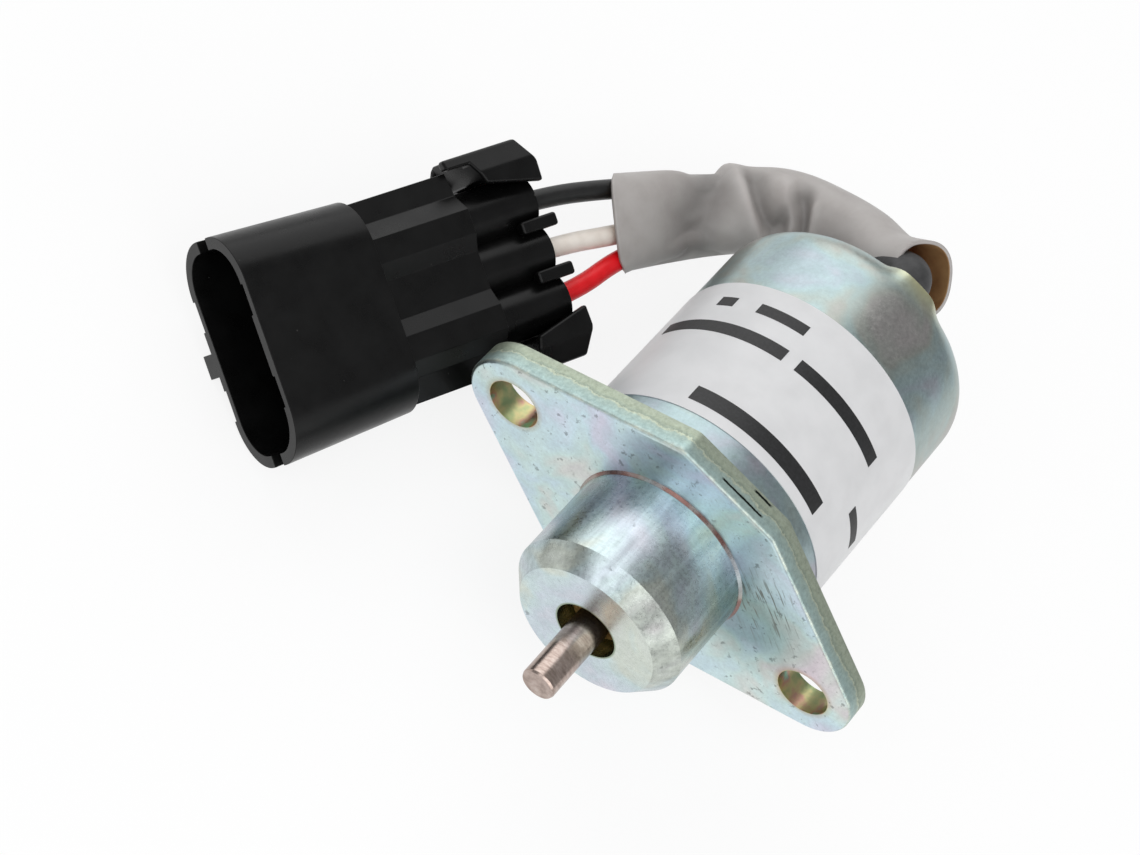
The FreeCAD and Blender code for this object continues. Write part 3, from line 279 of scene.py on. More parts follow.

# To the right of the nose the film is painted duller and greener, as painted shade and reflection of the
# nose, and it is scored there
painted_nose_shade = add(tree, "ShaderNodeMapRange", {"From Min": 0.012, "From Max": 0.004},
              {"Value": from_axis(tree, place, nose_shade_spot)})
nose_shaded = add(tree, "ShaderNodeMix", {"data_type": "RGBA", "blend_type": "MULTIPLY", 7: linear("#adb9b8")},
           {0: painted_nose_shade.outputs[0], 6: tone})
score_room = add(tree, "ShaderNodeMapping",
                 {"vector_type": "TEXTURE", "Rotation": (0, score_slope, 0), "Scale": (12, 1, 1)},
                 {"Vector": place})
scores = add(tree, "ShaderNodeTexNoise", {"Scale": 1 / 0.0005, "Detail": 2.5, "Roughness": 0.7},
             {"Vector": score_room.outputs[0]})
scored = add(tree, "ShaderNodeMapRange", {"From Min": 0.54, "From Max": 0.61}, {"Value": scores.outputs[0]})
score_patch = add(tree, "ShaderNodeMapRange", {"From Min": 0.0085, "From Max": 0.003},
                  {"Value": from_axis(tree, place, scored_spot)})
scratch = add(tree, "ShaderNodeMath", {"operation": "MULTIPLY"},
              {0: scored.outputs[0], 1: score_patch.outputs[0]})
scratched = add(tree, "ShaderNodeMix", {"data_type": "RGBA", 7: linear("#6c736e")},
                {0: scratch.outputs[0], 6: nose_shaded.outputs[2]})

# A warm rim runs round each punched hole, and the hole walls are olive gold
mirrored = add(tree, "ShaderNodeVectorMath", {"operation": "ABSOLUTE"}, {0: place})
from_hole = from_axis(tree, mirrored.outputs[0], (hole_half_spacing, 0, 0))
rim = add(tree, "ShaderNodeMapRange", {"From Min": hole_radius + 0.0009, "From Max": hole_radius},
          {"Value": from_hole})
rimmed = add(tree, "ShaderNodeMix", {"data_type": "RGBA", "blend_type": "MULTIPLY", 7: linear("#ecdcc8")},
             {0: rim.outputs[0], 6: scratched.outputs[2]})
wall = add(tree, "ShaderNodeMapRange", {"From Min": hole_radius + 0.0001, "From Max": hole_radius + 0.00002},
           {"Value": from_hole})
wall_drift = add(tree, "ShaderNodeTexNoise", {"Scale": 1 / 0.003, "Detail": 3}, {"Vector": place})
wall_film = add(tree, "ShaderNodeValToRGB",
                {"stops": [(0.35, "#93a57a"), (0.48, "#bdb585"), (0.58, "#bd9384"), (0.68, "#8bb3a0")]},
                {"Fac": wall_drift.outputs[0]})
punched = add(tree, "ShaderNodeMix", {"data_type": "RGBA"},
              {0: wall.outputs[0], 6: rimmed.outputs[2], 7: wall_film.outputs[0]})

# On the sides the shear's smooth band meets the torn one along a ragged line
normal = add(tree, "ShaderNodeTexCoord").outputs["Normal"]
facing = add(tree, "ShaderNodeSeparateXYZ", links={"Vector": normal})
forward = add(tree, "ShaderNodeMath", {"operation": "ABSOLUTE"}, {0: facing.outputs["Y"]})
outer = add(tree, "ShaderNodeMapRange", {"From Min": 0.90, "From Max": 0.55}, {"Value": forward.outputs[0]})
away = add(tree, "ShaderNodeMapRange", {"From Min": hole_radius + 0.0002, "From Max": hole_radius + 0.0004},
           {"Value": from_hole})
side = add(tree, "ShaderNodeMath", {"operation": "MULTIPLY"}, {0: outer.outputs[0], 1: away.outputs[0]})
ragged = add(tree, "ShaderNodeTexNoise", {"Scale": 1 / 0.0030, "Detail": 5, "Roughness": 0.8},
             {"Vector": place})
wander = add(tree, "ShaderNodeMapRange", {"To Min": -0.0012, "To Max": 0.0012}, {"Value": ragged.outputs[0]})
depth = add(tree, "ShaderNodeMath", {"operation": "ADD"}, {0: along, 1: wander.outputs[0]})
through = add(tree, "ShaderNodeMapRange", {"From Min": 0, "From Max": flange_thick},
              {"Value": depth.outputs[0]})
# Its palest stop, at the rolled front edge, paints that edge's bright line as a painted highlight
bands = add(tree, "ShaderNodeValToRGB", {"stops": [
    (0.02, "#ccd4c8"), (0.10, "#b4c6c2"), (0.20, "#a9bfbc"), (0.50, "#a8b9b1"), (0.56, "#c2c9b4"),
    (0.60, "#9ba79a"), (0.74, "#abb5a3"), (0.95, "#a9b2a2")]}, {"Fac": through.outputs[0]})
coarse = add(tree, "ShaderNodeTexNoise", {"Scale": 1 / 0.0006, "Detail": 4, "Roughness": 0.75},
             {"Vector": place})
torn = add(tree, "ShaderNodeMapRange", {**noise_range, "To Min": 0.76, "To Max": 1.12},
           {"Value": coarse.outputs[0]})
side_tone = add(tree, "ShaderNodeVectorMath", {"operation": "SCALE"},
                {0: bands.outputs[0], "Scale": torn.outputs[0]})
sided = add(tree, "ShaderNodeMix", {"data_type": "RGBA"},
            {0: side.outputs[0], 6: punched.outputs[2], 7: side_tone.outputs[0]})

# Two tears along the top flat, painted dark
tear_lines = None
waver = add(tree, "ShaderNodeMapRange", {"To Min": -0.0002, "To Max": 0.0002}, {"Value": ragged.outputs[0]})
tear_depth = add(tree, "ShaderNodeMath", {"operation": "ADD"}, {0: along, 1: waver.outputs[0]})
for middle, start, end, half_width in tears:
    off = add(tree, "ShaderNodeMath", {"operation": "SUBTRACT", 1: middle}, {0: tear_depth.outputs[0]})
    off = add(tree, "ShaderNodeMath", {"operation": "ABSOLUTE"}, {0: off.outputs[0]})
    near = add(tree, "ShaderNodeMapRange", {"From Min": half_width, "From Max": half_width / 2},
               {"Value": off.outputs[0]})
    begun = add(tree, "ShaderNodeMapRange", {"From Min": start, "From Max": start + 0.0004},
                {"Value": across})
    ended = add(tree, "ShaderNodeMapRange", {"From Min": end, "From Max": end - 0.0004}, {"Value": across})
    long = add(tree, "ShaderNodeMath", {"operation": "MULTIPLY"}, {0: begun.outputs[0], 1: ended.outputs[0]})
    line = add(tree, "ShaderNodeMath", {"operation": "MULTIPLY"}, {0: near.outputs[0], 1: long.outputs[0]})
    tear_lines = line if tear_lines is None else add(
        tree, "ShaderNodeMath", {"operation": "MAXIMUM"}, {0: tear_lines.outputs[0], 1: line.outputs[0]})
on_top = add(tree, "ShaderNodeMapRange", {"From Min": flange_top, "From Max": flange_top + 0.0002},
             {"Value": upward})
tear = add(tree, "ShaderNodeMath", {"operation": "MULTIPLY"},
           {0: tear_lines.outputs[0], 1: on_top.outputs[0]})
marked = add(tree, "ShaderNodeMix", {"data_type": "RGBA", 7: linear("#1d211e")},
             {0: tear.outputs[0], 6: sided.outputs[2]})
tree.links.new(marked.outputs[2], shader.inputs["Base Color"])
satin = shader.inputs["Roughness"].links[0].from_socket
matt_side = add(tree, "ShaderNodeMix", {3: 0.52}, {0: side.outputs[0], 2: satin})
tree.links.new(matt_side.outputs[0], shader.inputs["Roughness"])
coat("mounting_flange", stamped_zinc)


# Moving iron and its stop: the plunger, the fixed core behind it and the two pole plates are turned or
# stamped from soft iron and left bare. A thin film of oil keeps them grey, with fine tool marks.
# Turning leaves rings that catch the light
bare_iron = mottled("bare_turned_soft_iron", {"Metallic": 1.0, "Roughness": 0.32},
                    [(0.35, "#7d7f80"), (0.65, "#a9abab")],
                    patch=0.0004, stretch=(0.1, 1, 0.1), relief=(0.3, 0.00003))
for name in ("plunger", "backstop_core", "front_pole_plate", "rear_pole_plate"):
    coat(name, bare_iron)


# Guide tube, bumper washer and return spring: a seamless brass tube that the plunger runs in, a thin
# non-magnetic washer that keeps it from sticking, and a coil of hard-drawn wire between plunger and core.
# Drawing leaves bright lines along the tube
tube_brass = mottled("drawn_brass_tube", {"Metallic": 1.0, "Roughness": 0.28},
                     [(0.35, "#b08d4a"), (0.65, "#d3b26a")], patch=0.0005, stretch=(1, 0.06, 1))
for name in ("guide_tube", "stop_washer"):
    coat(name, tube_brass)

# CAD triangles share their corners to within this
corner_gap = 2e-6


def merged_copy(node):
    """The triangles of a CAD node, joined at their corners."""
    mesh = bmesh.new()
    mesh.from_mesh(nodes[node].data)
    bmesh.ops.remove_doubles(mesh, verts=mesh.verts, dist=corner_gap)
    return mesh


def add_piece(name, mesh, body, *materials):
    """The finished mesh as a piece of the object. It rides on that body, if one is given."""
    data = bpy.data.meshes.new(name)
    mesh.to_mesh(data)
    mesh.free()
    for material in materials:
        data.materials.append(material)
    piece = bpy.data.objects.new(name, data)
    bpy.context.scene.collection.objects.link(piece)
    if body:
        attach(piece, body)
    return piece


# Drawing leaves the wire a dark, even grey
spring_wire = mottled("hard_drawn_spring_wire", {"Metallic": 1.0, "Roughness": 0.36},
                      [(0.35, "#6d7073"), (0.65, "#9b9fa2")], patch=0.0003)

# The spring is a smooth-shaded merged copy of the CAD coil, on no body
mesh = merged_copy("return_spring")
for face in mesh.faces:
    face.smooth = True
coiled_spring = add_piece("coiled_spring", mesh, None, spring_wire)
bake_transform(coiled_spring)
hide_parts("return_spring")


# Coil: a glass-filled nylon bobbin with two windings of enamelled copper wire, taped over. The wire
# lies in tight turns about the plunger axis, so it shows fine rings of copper red.
# The nylon is cream and satin, with faint flow marks
bobbin_nylon = mottled("moulded_glass_filled_nylon", {"Roughness": 0.5},
                       [(0.35, "#d6cfbd"), (0.65, "#e4dece")], patch=0.003, detail=4)
coat("coil_bobbin", bobbin_nylon)

# The rings are drawn about twice as coarse as the real wire, so that they show. At a scale of 1, a wave
# texture has 20 / tau bands to a metre.
ring_pitch = 0.000987
copper_turns, tree, shader, place = new_finish(
    "enamelled_copper_wire", {"Metallic": 1.0, "Roughness": 0.3, "Coat Weight": 0.6})
turns = add(tree, "ShaderNodeTexWave", {"wave_type": "BANDS", "bands_direction": "Y",
                                       "Scale": math.tau / 20 / ring_pitch, "Distortion": 0.3},
            {"Vector": place})
copper = add(tree, "ShaderNodeValToRGB", {"stops": [(0.1, "#5e2611"), (0.6, "#b35c2e"), (0.95, "#cf7a46")]},
             {"Fac": turns.outputs[0]})
tree.links.new(copper.outputs[0], shader.inputs["Base Color"])
round_wire = add(tree, "ShaderNodeBump", {"Strength": 0.8, "Distance": 0.0002}, {"Height": turns.outputs[0]})
tree.links.new(round_wire.outputs[0], shader.inputs["Normal"])
for name in ("pull_in_winding", "hold_in_winding"):
    coat(name, copper_turns)

# Yellow film tape, a little glossy
coil_tape = mottled("polyester_coil_tape", {"Roughness": 0.35}, [(0.35, "#c9a63a"), (0.65, "#dcbc55")],
                    patch=0.004)
coat("winding_tape", coil_tape)


# Case: a steel can, deep drawn, plated and rolled in at the rear over the cap. Over the leads its wall
# isn't rolled and runs on as a short lobe, pale yellow at its edge. Its film is greyer than the flange's.
can_radius = 0.01905
can_front = 0.0040
can_wall = 0.0012
can_rear = 0.0470
roll_start = 0.0420
roll_radius = 0.0050
rim_radius = 0.0135
# The lobe begins, is full, begins to end and has ended at these degrees round the can
lobe_angles = (57, 83, 94, 116)
lobe_end = 0.0457
lobe_spot = (0.001, 0, can_radius)
# Points that a spin leaves at one place are within this
seam_gap = 1e-6

# Deep drawing stretches the steel, so the film is grey, soft and free of pits
drawn_zinc, tree, shader, place, tone = chromated_zinc(
    "drawn_steel_chromated_zinc", patch=0.012, roughness=0.34, pits=0.90, tints=[
        (0.30, "#aeb0b9"), (0.40, "#a6b4ba"), (0.48, "#a6b9bb"), (0.55, "#a7b5b2"), (0.62, "#aaaea8"),
        (0.72, "#b2acac")])
axial = add(tree, "ShaderNodeSeparateXYZ", links={"Vector": place}).outputs["Y"]
near_lobe = add(tree, "ShaderNodeMapRange", {"From Min": 0.0065, "From Max": 0.001},
                {"Value": from_axis(tree, place, lobe_spot)})
at_rear = add(tree, "ShaderNodeMapRange", {"From Min": lobe_end - 0.0030, "From Max": lobe_end},
              {"Value": axial})
lobe_share = add(tree, "ShaderNodeMath", {"operation": "MULTIPLY"},
                 {0: near_lobe.outputs[0], 1: at_rear.outputs[0]})
yellowed = add(tree, "ShaderNodeMix", {"data_type": "RGBA", 7: linear("#cfcda4")},
               {0: lobe_share.outputs[0], 6: tone})
tree.links.new(yellowed.outputs[2], shader.inputs["Base Color"])


def set_creases(mesh, limit):
    """Smooth faces, with the edges sharper than that many degrees kept crisp."""
    for face in mesh.faces:
        face.smooth = True
    for edge in mesh.edges:
        edge.smooth = len(edge.link_faces) == 2 and edge.calc_face_angle(0) < math.radians(limit)


def ease_edges(piece, width, segments, limit):
    """Rounds the edges sharper than that many degrees, as a tool or a tumble does."""
    eased = piece.modifiers.new("eased_edges", "BEVEL")
    eased.width = width
    eased.segments = segments
    eased.limit_method = "ANGLE"
    eased.angle_limit = math.radians(limit)
    eased.harden_normals = True
    return eased


def smooth_step(value, start, end):
    """0 before the start and 1 after the end, with a smooth turn between."""
    share = min(max((value - start) / (end - start), 0), 1)
    return share * share * (3 - 2 * share)


def faces_axis(face):
    """Whether the face looks towards the plunger axis."""
    middle = face.calc_center_median()
    return face.normal.dot(Vector((middle.x, 0, middle.z))) < 0


# A straight wall, with its rings closer together near the roll, a quarter turn of roll and a flat rim
# are spun about the axis
mesh = bmesh.new()
roll_middle = can_radius - roll_radius
stations = [can_front, 0.0060, 0.0180, 0.0300] + [0.0370 + 0.0009 * step for step in range(6)]
roll_turns = [math.radians(7.5 * step) for step in range(13)]
profile = [(can_radius, station) for station in stations]
profile += [(roll_middle + roll_radius * math.cos(turn), roll_start + roll_radius * math.sin(turn))
            for turn in roll_turns]
profile += [(rim_radius + 0.0002, can_rear), (rim_radius, can_rear)]
points = [mesh.verts.new((radius, along, 0)) for radius, along in profile]
edges = [mesh.edges.new(pair) for pair in zip(points, points[1:])]
bmesh.ops.spin(mesh, geom=points + edges, cent=(0, 0, 0), axis=(0, -1, 0), angle=math.tau, steps=180,
               use_merge=True)
bmesh.ops.remove_doubles(mesh, verts=mesh.verts, dist=seam_gap)

# Within the lobe's angles the roll is laid out straight again
rolled_length = roll_radius * math.pi / 2 + roll_middle - rim_radius
for vertex in mesh.verts:
    if vertex.co.y < roll_start - seam_gap:
        continue
    radius = math.hypot(vertex.co.x, vertex.co.z)
    angle = math.degrees(math.atan2(vertex.co.z, vertex.co.x)) % 360
    lobe = smooth_step(angle, *lobe_angles[:2]) - smooth_step(angle, *lobe_angles[2:])
    turn = math.atan2(vertex.co.y - roll_start, max(radius - roll_middle, 0))
    rolled = roll_radius * turn + max(roll_middle - radius, 0)
    straight_along = roll_start + rolled / rolled_length * (lobe_end - roll_start)
    new_radius = radius + (can_radius - radius) * lobe
    vertex.co.x *= new_radius / radius
    vertex.co.z *= new_radius / radius
    vertex.co.y += (straight_along - vertex.co.y) * lobe
bmesh.ops.recalc_face_normals(mesh, faces=mesh.faces)
if faces_axis(mesh.faces[0]):
    bmesh.ops.reverse_faces(mesh, faces=mesh.faces)
mesh.normal_update()
bmesh.ops.solidify(mesh, geom=mesh.faces[:], thickness=can_wall)
bmesh.ops.recalc_face_normals(mesh, faces=mesh.faces)
set_creases(mesh, 40)
can = add_piece("case_shell", mesh, "solenoid", drawn_zinc)
ease_edges(can, width=0.00015, segments=2, limit=40)
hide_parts("case_can")

# The cap behind the roll is black and satin, as phenolic leaves the mould
cap_plastic = mottled("moulded_phenolic_cap", {"Roughness": 0.5}, [(0.35, "#161616"), (0.65, "#232323")],
                      patch=0.002, detail=4)
coat("rear_cap", cap_plastic)


# Label: matt-varnished polyester foil wrapped round the can. Plain black bars are screen printed on it,
# so they lie a hair above the foil.
label_radius = 0.01917
ink_height = 0.00003
# Each bar: its start and end in degrees round the can, and its front and rear along the axis
printed_bars = [
    (109, 131, 0.0268, 0.0286),
    (142, 150, 0.0268, 0.0286),
    (53, 103, 0.0215, 0.0236),
    (109, 169, 0.0215, 0.0236),
    (59, 127, 0.0093, 0.0118),
    (24, 44, 0.0156, 0.0172),
]
# Under its matt varnish the foil is a soft pale grey
label_foil = mottled("varnished_label_foil", {"Roughness": 0.36, "Specular IOR Level": 0.4},
                     [(0.35, "#d0d0d1"), (0.65, "#d6d6d7")], patch=0.004)
coat("label", label_foil)

# The ink is nearly even, a little thin in spots
screen_ink = mottled("black_screen_ink", {"Roughness": 0.5}, [(0.35, "#121213"), (0.7, "#1f1f21")],
                     patch=0.0004, detail=2)
mesh = bmesh.new()
for start, end, front, rear in printed_bars:
    angle = math.radians(start)
    foot = Vector((label_radius * math.cos(angle), 0, label_radius * math.sin(angle)))
    ends = [mesh.verts.new(foot + Vector((0, along, 0))) for along in (front, rear)]
    edge = mesh.edges.new(ends)
    bmesh.ops.spin(mesh, geom=ends + [edge], cent=(0, 0, 0), axis=(0, -1, 0),
                   angle=math.radians(end - start), steps=(end - start) // 2)
bmesh.ops.remove_doubles(mesh, verts=mesh.verts, dist=seam_gap)
bmesh.ops.recalc_face_normals(mesh, faces=mesh.faces)
for face in mesh.faces:
    if faces_axis(face):
        face.normal_flip()
raised = bmesh.ops.extrude_face_region(mesh, geom=mesh.faces[:])
for vertex in [item for item in raised["geom"] if isinstance(item, bmesh.types.BMVert)]:
    outward = Vector((vertex.co.x, 0, vertex.co.z)).normalized()
    vertex.co += outward * ink_height
bmesh.ops.recalc_face_normals(mesh, faces=mesh.faces)
bars = add_piece("label_bars", mesh, "solenoid", screen_ink)


# Lead grommet: a moulded rubber elbow that seals the leads where they leave the can. Moulding leaves
# it matt, a little dusty and dark grey rather than black.
# Mould bloom lies on it in faint clouds
grommet_rubber = mottled("moulded_nitrile_rubber", {"Roughness": 0.6}, [(0.35, "#2e2e2f"), (0.7, "#404041")],
                         patch=0.0015, detail=4)
coat("lead_grommet", grommet_rubber)


# Leads: three stranded copper wires with extruded PVC insulation, 2.8 mm across, in black, white and
# red. They run through the sleeve side by side and fan out to the three towers of the connector.
lead_diameter = 0.0028
lead_routes = {
    "black": [
        (-0.0037, 0.0538, 0.0092), (-0.0069, 0.0575, 0.0046), (-0.0108, 0.0614, 0.0005),
        (-0.0155, 0.0627, -0.0039), (-0.0208, 0.0607, -0.0071), (-0.0256, 0.0562, -0.0084),
        (-0.0296, 0.0507, -0.0083), (-0.0334, 0.0452, -0.0072), (-0.0370, 0.0397, -0.0057),
        (-0.0433, 0.0295, -0.0054), (-0.0470, 0.0202, -0.0056)],
    "white": [
        (-0.0032, 0.0514, 0.0077), (-0.0063, 0.0552, 0.0028), (-0.0101, 0.0588, -0.0010),
        (-0.0141, 0.0602, -0.0052), (-0.0188, 0.0585, -0.0083), (-0.0231, 0.0542, -0.0097),
        (-0.0267, 0.0487, -0.0097), (-0.0295, 0.0427, -0.0091), (-0.0321, 0.0365, -0.0082),
        (-0.0371, 0.0271, -0.0072), (-0.0408, 0.0178, -0.0074)],
    "red": [
        (-0.0012, 0.0536, 0.0077), (-0.0042, 0.0572, 0.0024), (-0.0077, 0.0595, -0.0031),
        (-0.0123, 0.0590, -0.0074), (-0.0168, 0.0565, -0.0097), (-0.0208, 0.0524, -0.0108),
        (-0.0242, 0.0471, -0.0109), (-0.0270, 0.0411, -0.0103), (-0.0297, 0.0350, -0.0094),
        (-0.0309, 0.0246, -0.0090), (-0.0346, 0.0154, -0.0092)],
}
lead_tints = {"black": ("#161616", "#1f1f1f"), "white": ("#e4dad0", "#eee6dd"), "red": ("#df0915", "#ea1420")}
leads = {}
for colour, route in lead_routes.items():
    # Extrusion gives a smooth satin skin, which follows the strands' lay a little
    dark, light = lead_tints[colour]
    insulation = mottled("extruded_pvc_" + colour, {"Roughness": 0.40, "Specular IOR Level": 0.35},
                         [(0.35, dark), (0.65, light)], patch=0.002, relief=(0.2, 0.0001))
    line = bpy.data.curves.new("lead_line_" + colour, "CURVE")
    line.dimensions = "3D"
    line.resolution_u = 12
    line.bevel_depth = lead_diameter / 2
    line.bevel_resolution = 8
    line.use_fill_caps = True
    spline = line.splines.new("NURBS")
    spline.points.add(len(route) - 1)
    for point, where in zip(spline.points, route):
        point.co = (*where, 1)
    spline.order_u = 3
    spline.use_endpoint_u = True
    line.materials.append(insulation)
    lead = bpy.data.objects.new("lead_cable_" + colour, line)
    bpy.context.scene.collection.objects.link(lead)
    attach(lead, "solenoid")
    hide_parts("lead_" + colour)
    leads[colour] = lead


# Sleeve: soft grey PVC tubing pulled over the three leads. It is round where it covers the grommet,
# buckles into folds where it bends, and is pressed flat and cut at a slant at its far end.
sleeve_length = 0.0568
sleeve_girth = 0.0320
sleeve_wall = 0.0005
sleeve_rings = 120
sleeve_sides = 96
# Each section: the middle of the tube, and its width and height there
sleeve_sections = [
    ((0.0013, 0.0530, 0.0111), 0.0109, 0.0107),
    ((-0.0022, 0.0547, 0.0054), 0.0110, 0.0101),
    ((-0.0066, 0.0581, 0.0006), 0.0116, 0.0094),
    ((-0.0112, 0.0600, -0.0039), 0.0120, 0.0094),
    ((-0.0163, 0.0595, -0.0066), 0.0123, 0.0095),
    ((-0.0207, 0.0568, -0.0083), 0.0124, 0.0091),
    ((-0.0247, 0.0519, -0.0090), 0.0125, 0.0086),
    ((-0.0287, 0.0456, -0.0088), 0.0129, 0.0068),
    ((-0.0331, 0.0376, -0.0075), 0.0136, 0.0050),
]
sleeve_broad_way = Vector((0.71, -0.61, -0.36))
# 2 would make each ring an ellipse, and more fills its corners, as in a flattened tube
ring_fullness = 2.4
# How far the upper wall reaches past the lower one at the slanted cut, as a share of the tube's height,
# and from what share of the length the rings lean for it
end_slant = 1.05
slant_start = 0.80
# Each fold: the points of its line as share of the length and degrees round the tube, its height
# and its half width. A fold with a height below zero is a hollow.
sleeve_folds = [
    ([(0.755, 165), (0.782, 123), (0.804, 99), (0.826, 75), (0.834, 40), (0.830, -10)], -0.0025, 0.0034),
    ([(0.700, 195), (0.704, 160), (0.712, 129), (0.701, 99), (0.677, 71), (0.633, 45)], 0.0012, 0.0018),
    ([(0.650, 130), (0.648, 110), (0.640, 90), (0.616, 70), (0.575, 62), (0.531, 72)], -0.0019, 0.0018),
    ([(0.545, 112), (0.535, 100), (0.520, 88)], 0.0008, 0.0020),
    ([(0.478, 110), (0.458, 96), (0.430, 76)], -0.0019, 0.0017),
    ([(0.400, 60), (0.402, 79), (0.425, 105)], 0.0007, 0.0013),
    ([(0.620, 200), (0.600, 225), (0.610, 270)], -0.0008, 0.0022),
    ([(0.760, 215), (0.740, 250), (0.750, 290)], -0.0008, 0.0024),
]
# No point of the sleeve's skin comes nearer than this to the middle of a lead
lead_clearance = 0.00205
# The soft wall doesn't crease sharply, so it is smoothed this often and by this share
smoothing_rounds = 2
smoothing_share = 0.4


def along_sections(share):
    """Middle, width and height of the sleeve at that share of its length, on a smooth line."""
    reach = share * (len(sleeve_sections) - 1)
    first = min(int(reach), len(sleeve_sections) - 2)
    part = reach - first
    last = len(sleeve_sections) - 1
    picks = [sleeve_sections[max(0, min(first + step, last))] for step in (-1, 0, 1, 2)]
    weights = (
        (-part + 2 * part ** 2 - part ** 3) / 2, (2 - 5 * part ** 2 + 3 * part ** 3) / 2,
        (part + 4 * part ** 2 - 3 * part ** 3) / 2, (part ** 3 - part ** 2) / 2)
    middle = sum((Vector(pick[0]) * weight for pick, weight in zip(picks, weights)), Vector())
    wide = sum(pick[1] * weight for pick, weight in zip(picks, weights))
    tall = sum(pick[2] * weight for pick, weight in zip(picks, weights))
    return middle, wide, tall


def fold_height(share, turn):
    """How far the folds lift the sleeve's wall there."""
    here = Vector((share * sleeve_length, turn / 360 * sleeve_girth))
    lift = 0
    for line, height, half_width in sleeve_folds:
        spots = [Vector((at * sleeve_length, way / 360 * sleeve_girth)) for at, way in line]
        gaps = []
        for start, end in zip(spots, spots[1:]):
            run = end - start
            reach = min(max((here - start).dot(run) / run.length_squared, 0), 1)
            gaps.append((here - (start + run * reach)).length)
        lift += height * math.exp(-(min(gaps) / half_width) ** 2)
    return lift


# Points along the middle of each lead
lead_points = []
for lead in leads.values():
    thin_line = lead.copy()
    thin_line.data = lead.data.copy()
    thin_line.data.bevel_depth = 0
    traced = bpy.data.meshes.new_from_object(thin_line)
    lead_points += [vertex.co.copy() for vertex in traced.vertices]
    bpy.data.objects.remove(thin_line)
lead_spots = kdtree.KDTree(len(lead_points))
for number, point in enumerate(lead_points):
    lead_spots.insert(point, number)
lead_spots.balance()

mesh = bmesh.new()
fold_layer = mesh.verts.layers.float.new("fold")
last_ring = None
for number in range(sleeve_rings + 1):
    share = number / sleeve_rings
    middle, wide, tall = along_sections(share)
    ahead = along_sections(min(share + 0.01, 1))[0] - along_sections(max(share - 0.01, 0))[0]
    ahead.normalize()
    broad = (sleeve_broad_way - ahead * ahead.dot(sleeve_broad_way)).normalized()
    upright = ahead.cross(broad)
    axes = Matrix((broad, upright, ahead)).transposed().to_4x4()
    axes.translation = middle
    slant = end_slant * smooth_step(share, slant_start, 1.0)
    ring = bmesh.ops.create_circle(mesh, segments=sleeve_sides, radius=1)["verts"]
    for vertex in ring:
        side, top = vertex.co.x, vertex.co.y
        turn = math.degrees(math.atan2(top, side)) % 360
        vertex[fold_layer] = fold_height(share, turn)
        fullness = (abs(side) ** ring_fullness + abs(top) ** ring_fullness) ** (-1 / ring_fullness)
        height = top * fullness * tall / 2
        vertex.co = axes @ Vector((side * fullness * wide / 2, height, height * slant))
    ring_edges = list({edge for vertex in ring for edge in vertex.link_edges})
    if last_ring:
        bmesh.ops.bridge_loops(mesh, edges=last_ring + ring_edges)
    last_ring = ring_edges
bmesh.ops.recalc_face_normals(mesh, faces=mesh.faces)
mesh.normal_update()
lifted = [(vertex, vertex.co + vertex.normal * vertex[fold_layer]) for vertex in mesh.verts]
for vertex, where in lifted:
    # Where a fold would sink into a lead, the soft wall lies on the lead
    nearest, _, gap = lead_spots.find(where)
    vertex.co = nearest + (where - nearest).normalized() * max(gap, lead_clearance)
for _ in range(smoothing_rounds):
    bmesh.ops.smooth_vert(mesh, verts=[vertex for vertex in mesh.verts if not vertex.is_boundary],
                          factor=smoothing_share, use_axis_x=True, use_axis_y=True, use_axis_z=True)
for face in mesh.faces:
    face.smooth = True

# The soft vinyl is satin. By the fold heights its crests are painted lighter and its hollows darker, as
# painted highlight and painted shade
sleeve_pvc, tree, shader, place = new_finish("soft_grey_pvc_sleeving",
                                             {"Roughness": 0.45, "Specular IOR Level": 0.4})
bloom = add(tree, "ShaderNodeTexNoise", {"Scale": 1 / 0.006, "Detail": 4, "Roughness": 0.6},
            {"Vector": place})
grey = add(tree, "ShaderNodeValToRGB", {"stops": [(0.3, "#ada7a4"), (0.5, "#b6b1ae"), (0.7, "#bcb8b5")]},
           {"Fac": bloom.outputs[0]})
# Painted shade in the hollows and painted highlight on the crests, from the fold heights
lie = add(tree, "ShaderNodeAttribute", {"attribute_name": "fold"})
painted_fold_shade = add(tree, "ShaderNodeMapRange",
             {"From Min": -0.0022, "From Max": 0.0012, "To Min": 0.52, "To Max": 1.10},
             {"Value": lie.outputs["Fac"]})
fold_shaded_grey = add(tree, "ShaderNodeVectorMath", {"operation": "SCALE"},
              {0: grey.outputs[0], "Scale": painted_fold_shade.outputs[0]})
tree.links.new(fold_shaded_grey.outputs[0], shader.inputs["Base Color"])
matt = add(tree, "ShaderNodeTexNoise", {"Scale": 1 / 0.0007, "Detail": 3}, {"Vector": place})
soft = add(tree, "ShaderNodeBump", {"Strength": 0.15, "Distance": 0.00006}, {"Height": matt.outputs[0]})
tree.links.new(soft.outputs[0], shader.inputs["Normal"])

# Its inside is painted a darker warm brown, as painted shade inside the tube
sleeve_inside_painted_shade = mottled("pvc_sleeve_lining_painted_shade", {"Roughness": 0.5}, [(0.3, "#8a6440"), (0.7, "#b58f62")],
                    patch=0.004)
sleeve = add_piece("lead_sleeving", mesh, "solenoid", sleeve_pvc, sleeve_inside_painted_shade)
wall = sleeve.modifiers.new("wall", "SOLIDIFY")
wall.thickness = sleeve_wall
wall.offset = -1
wall.material_offset = 1
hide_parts("lead_sleeve")


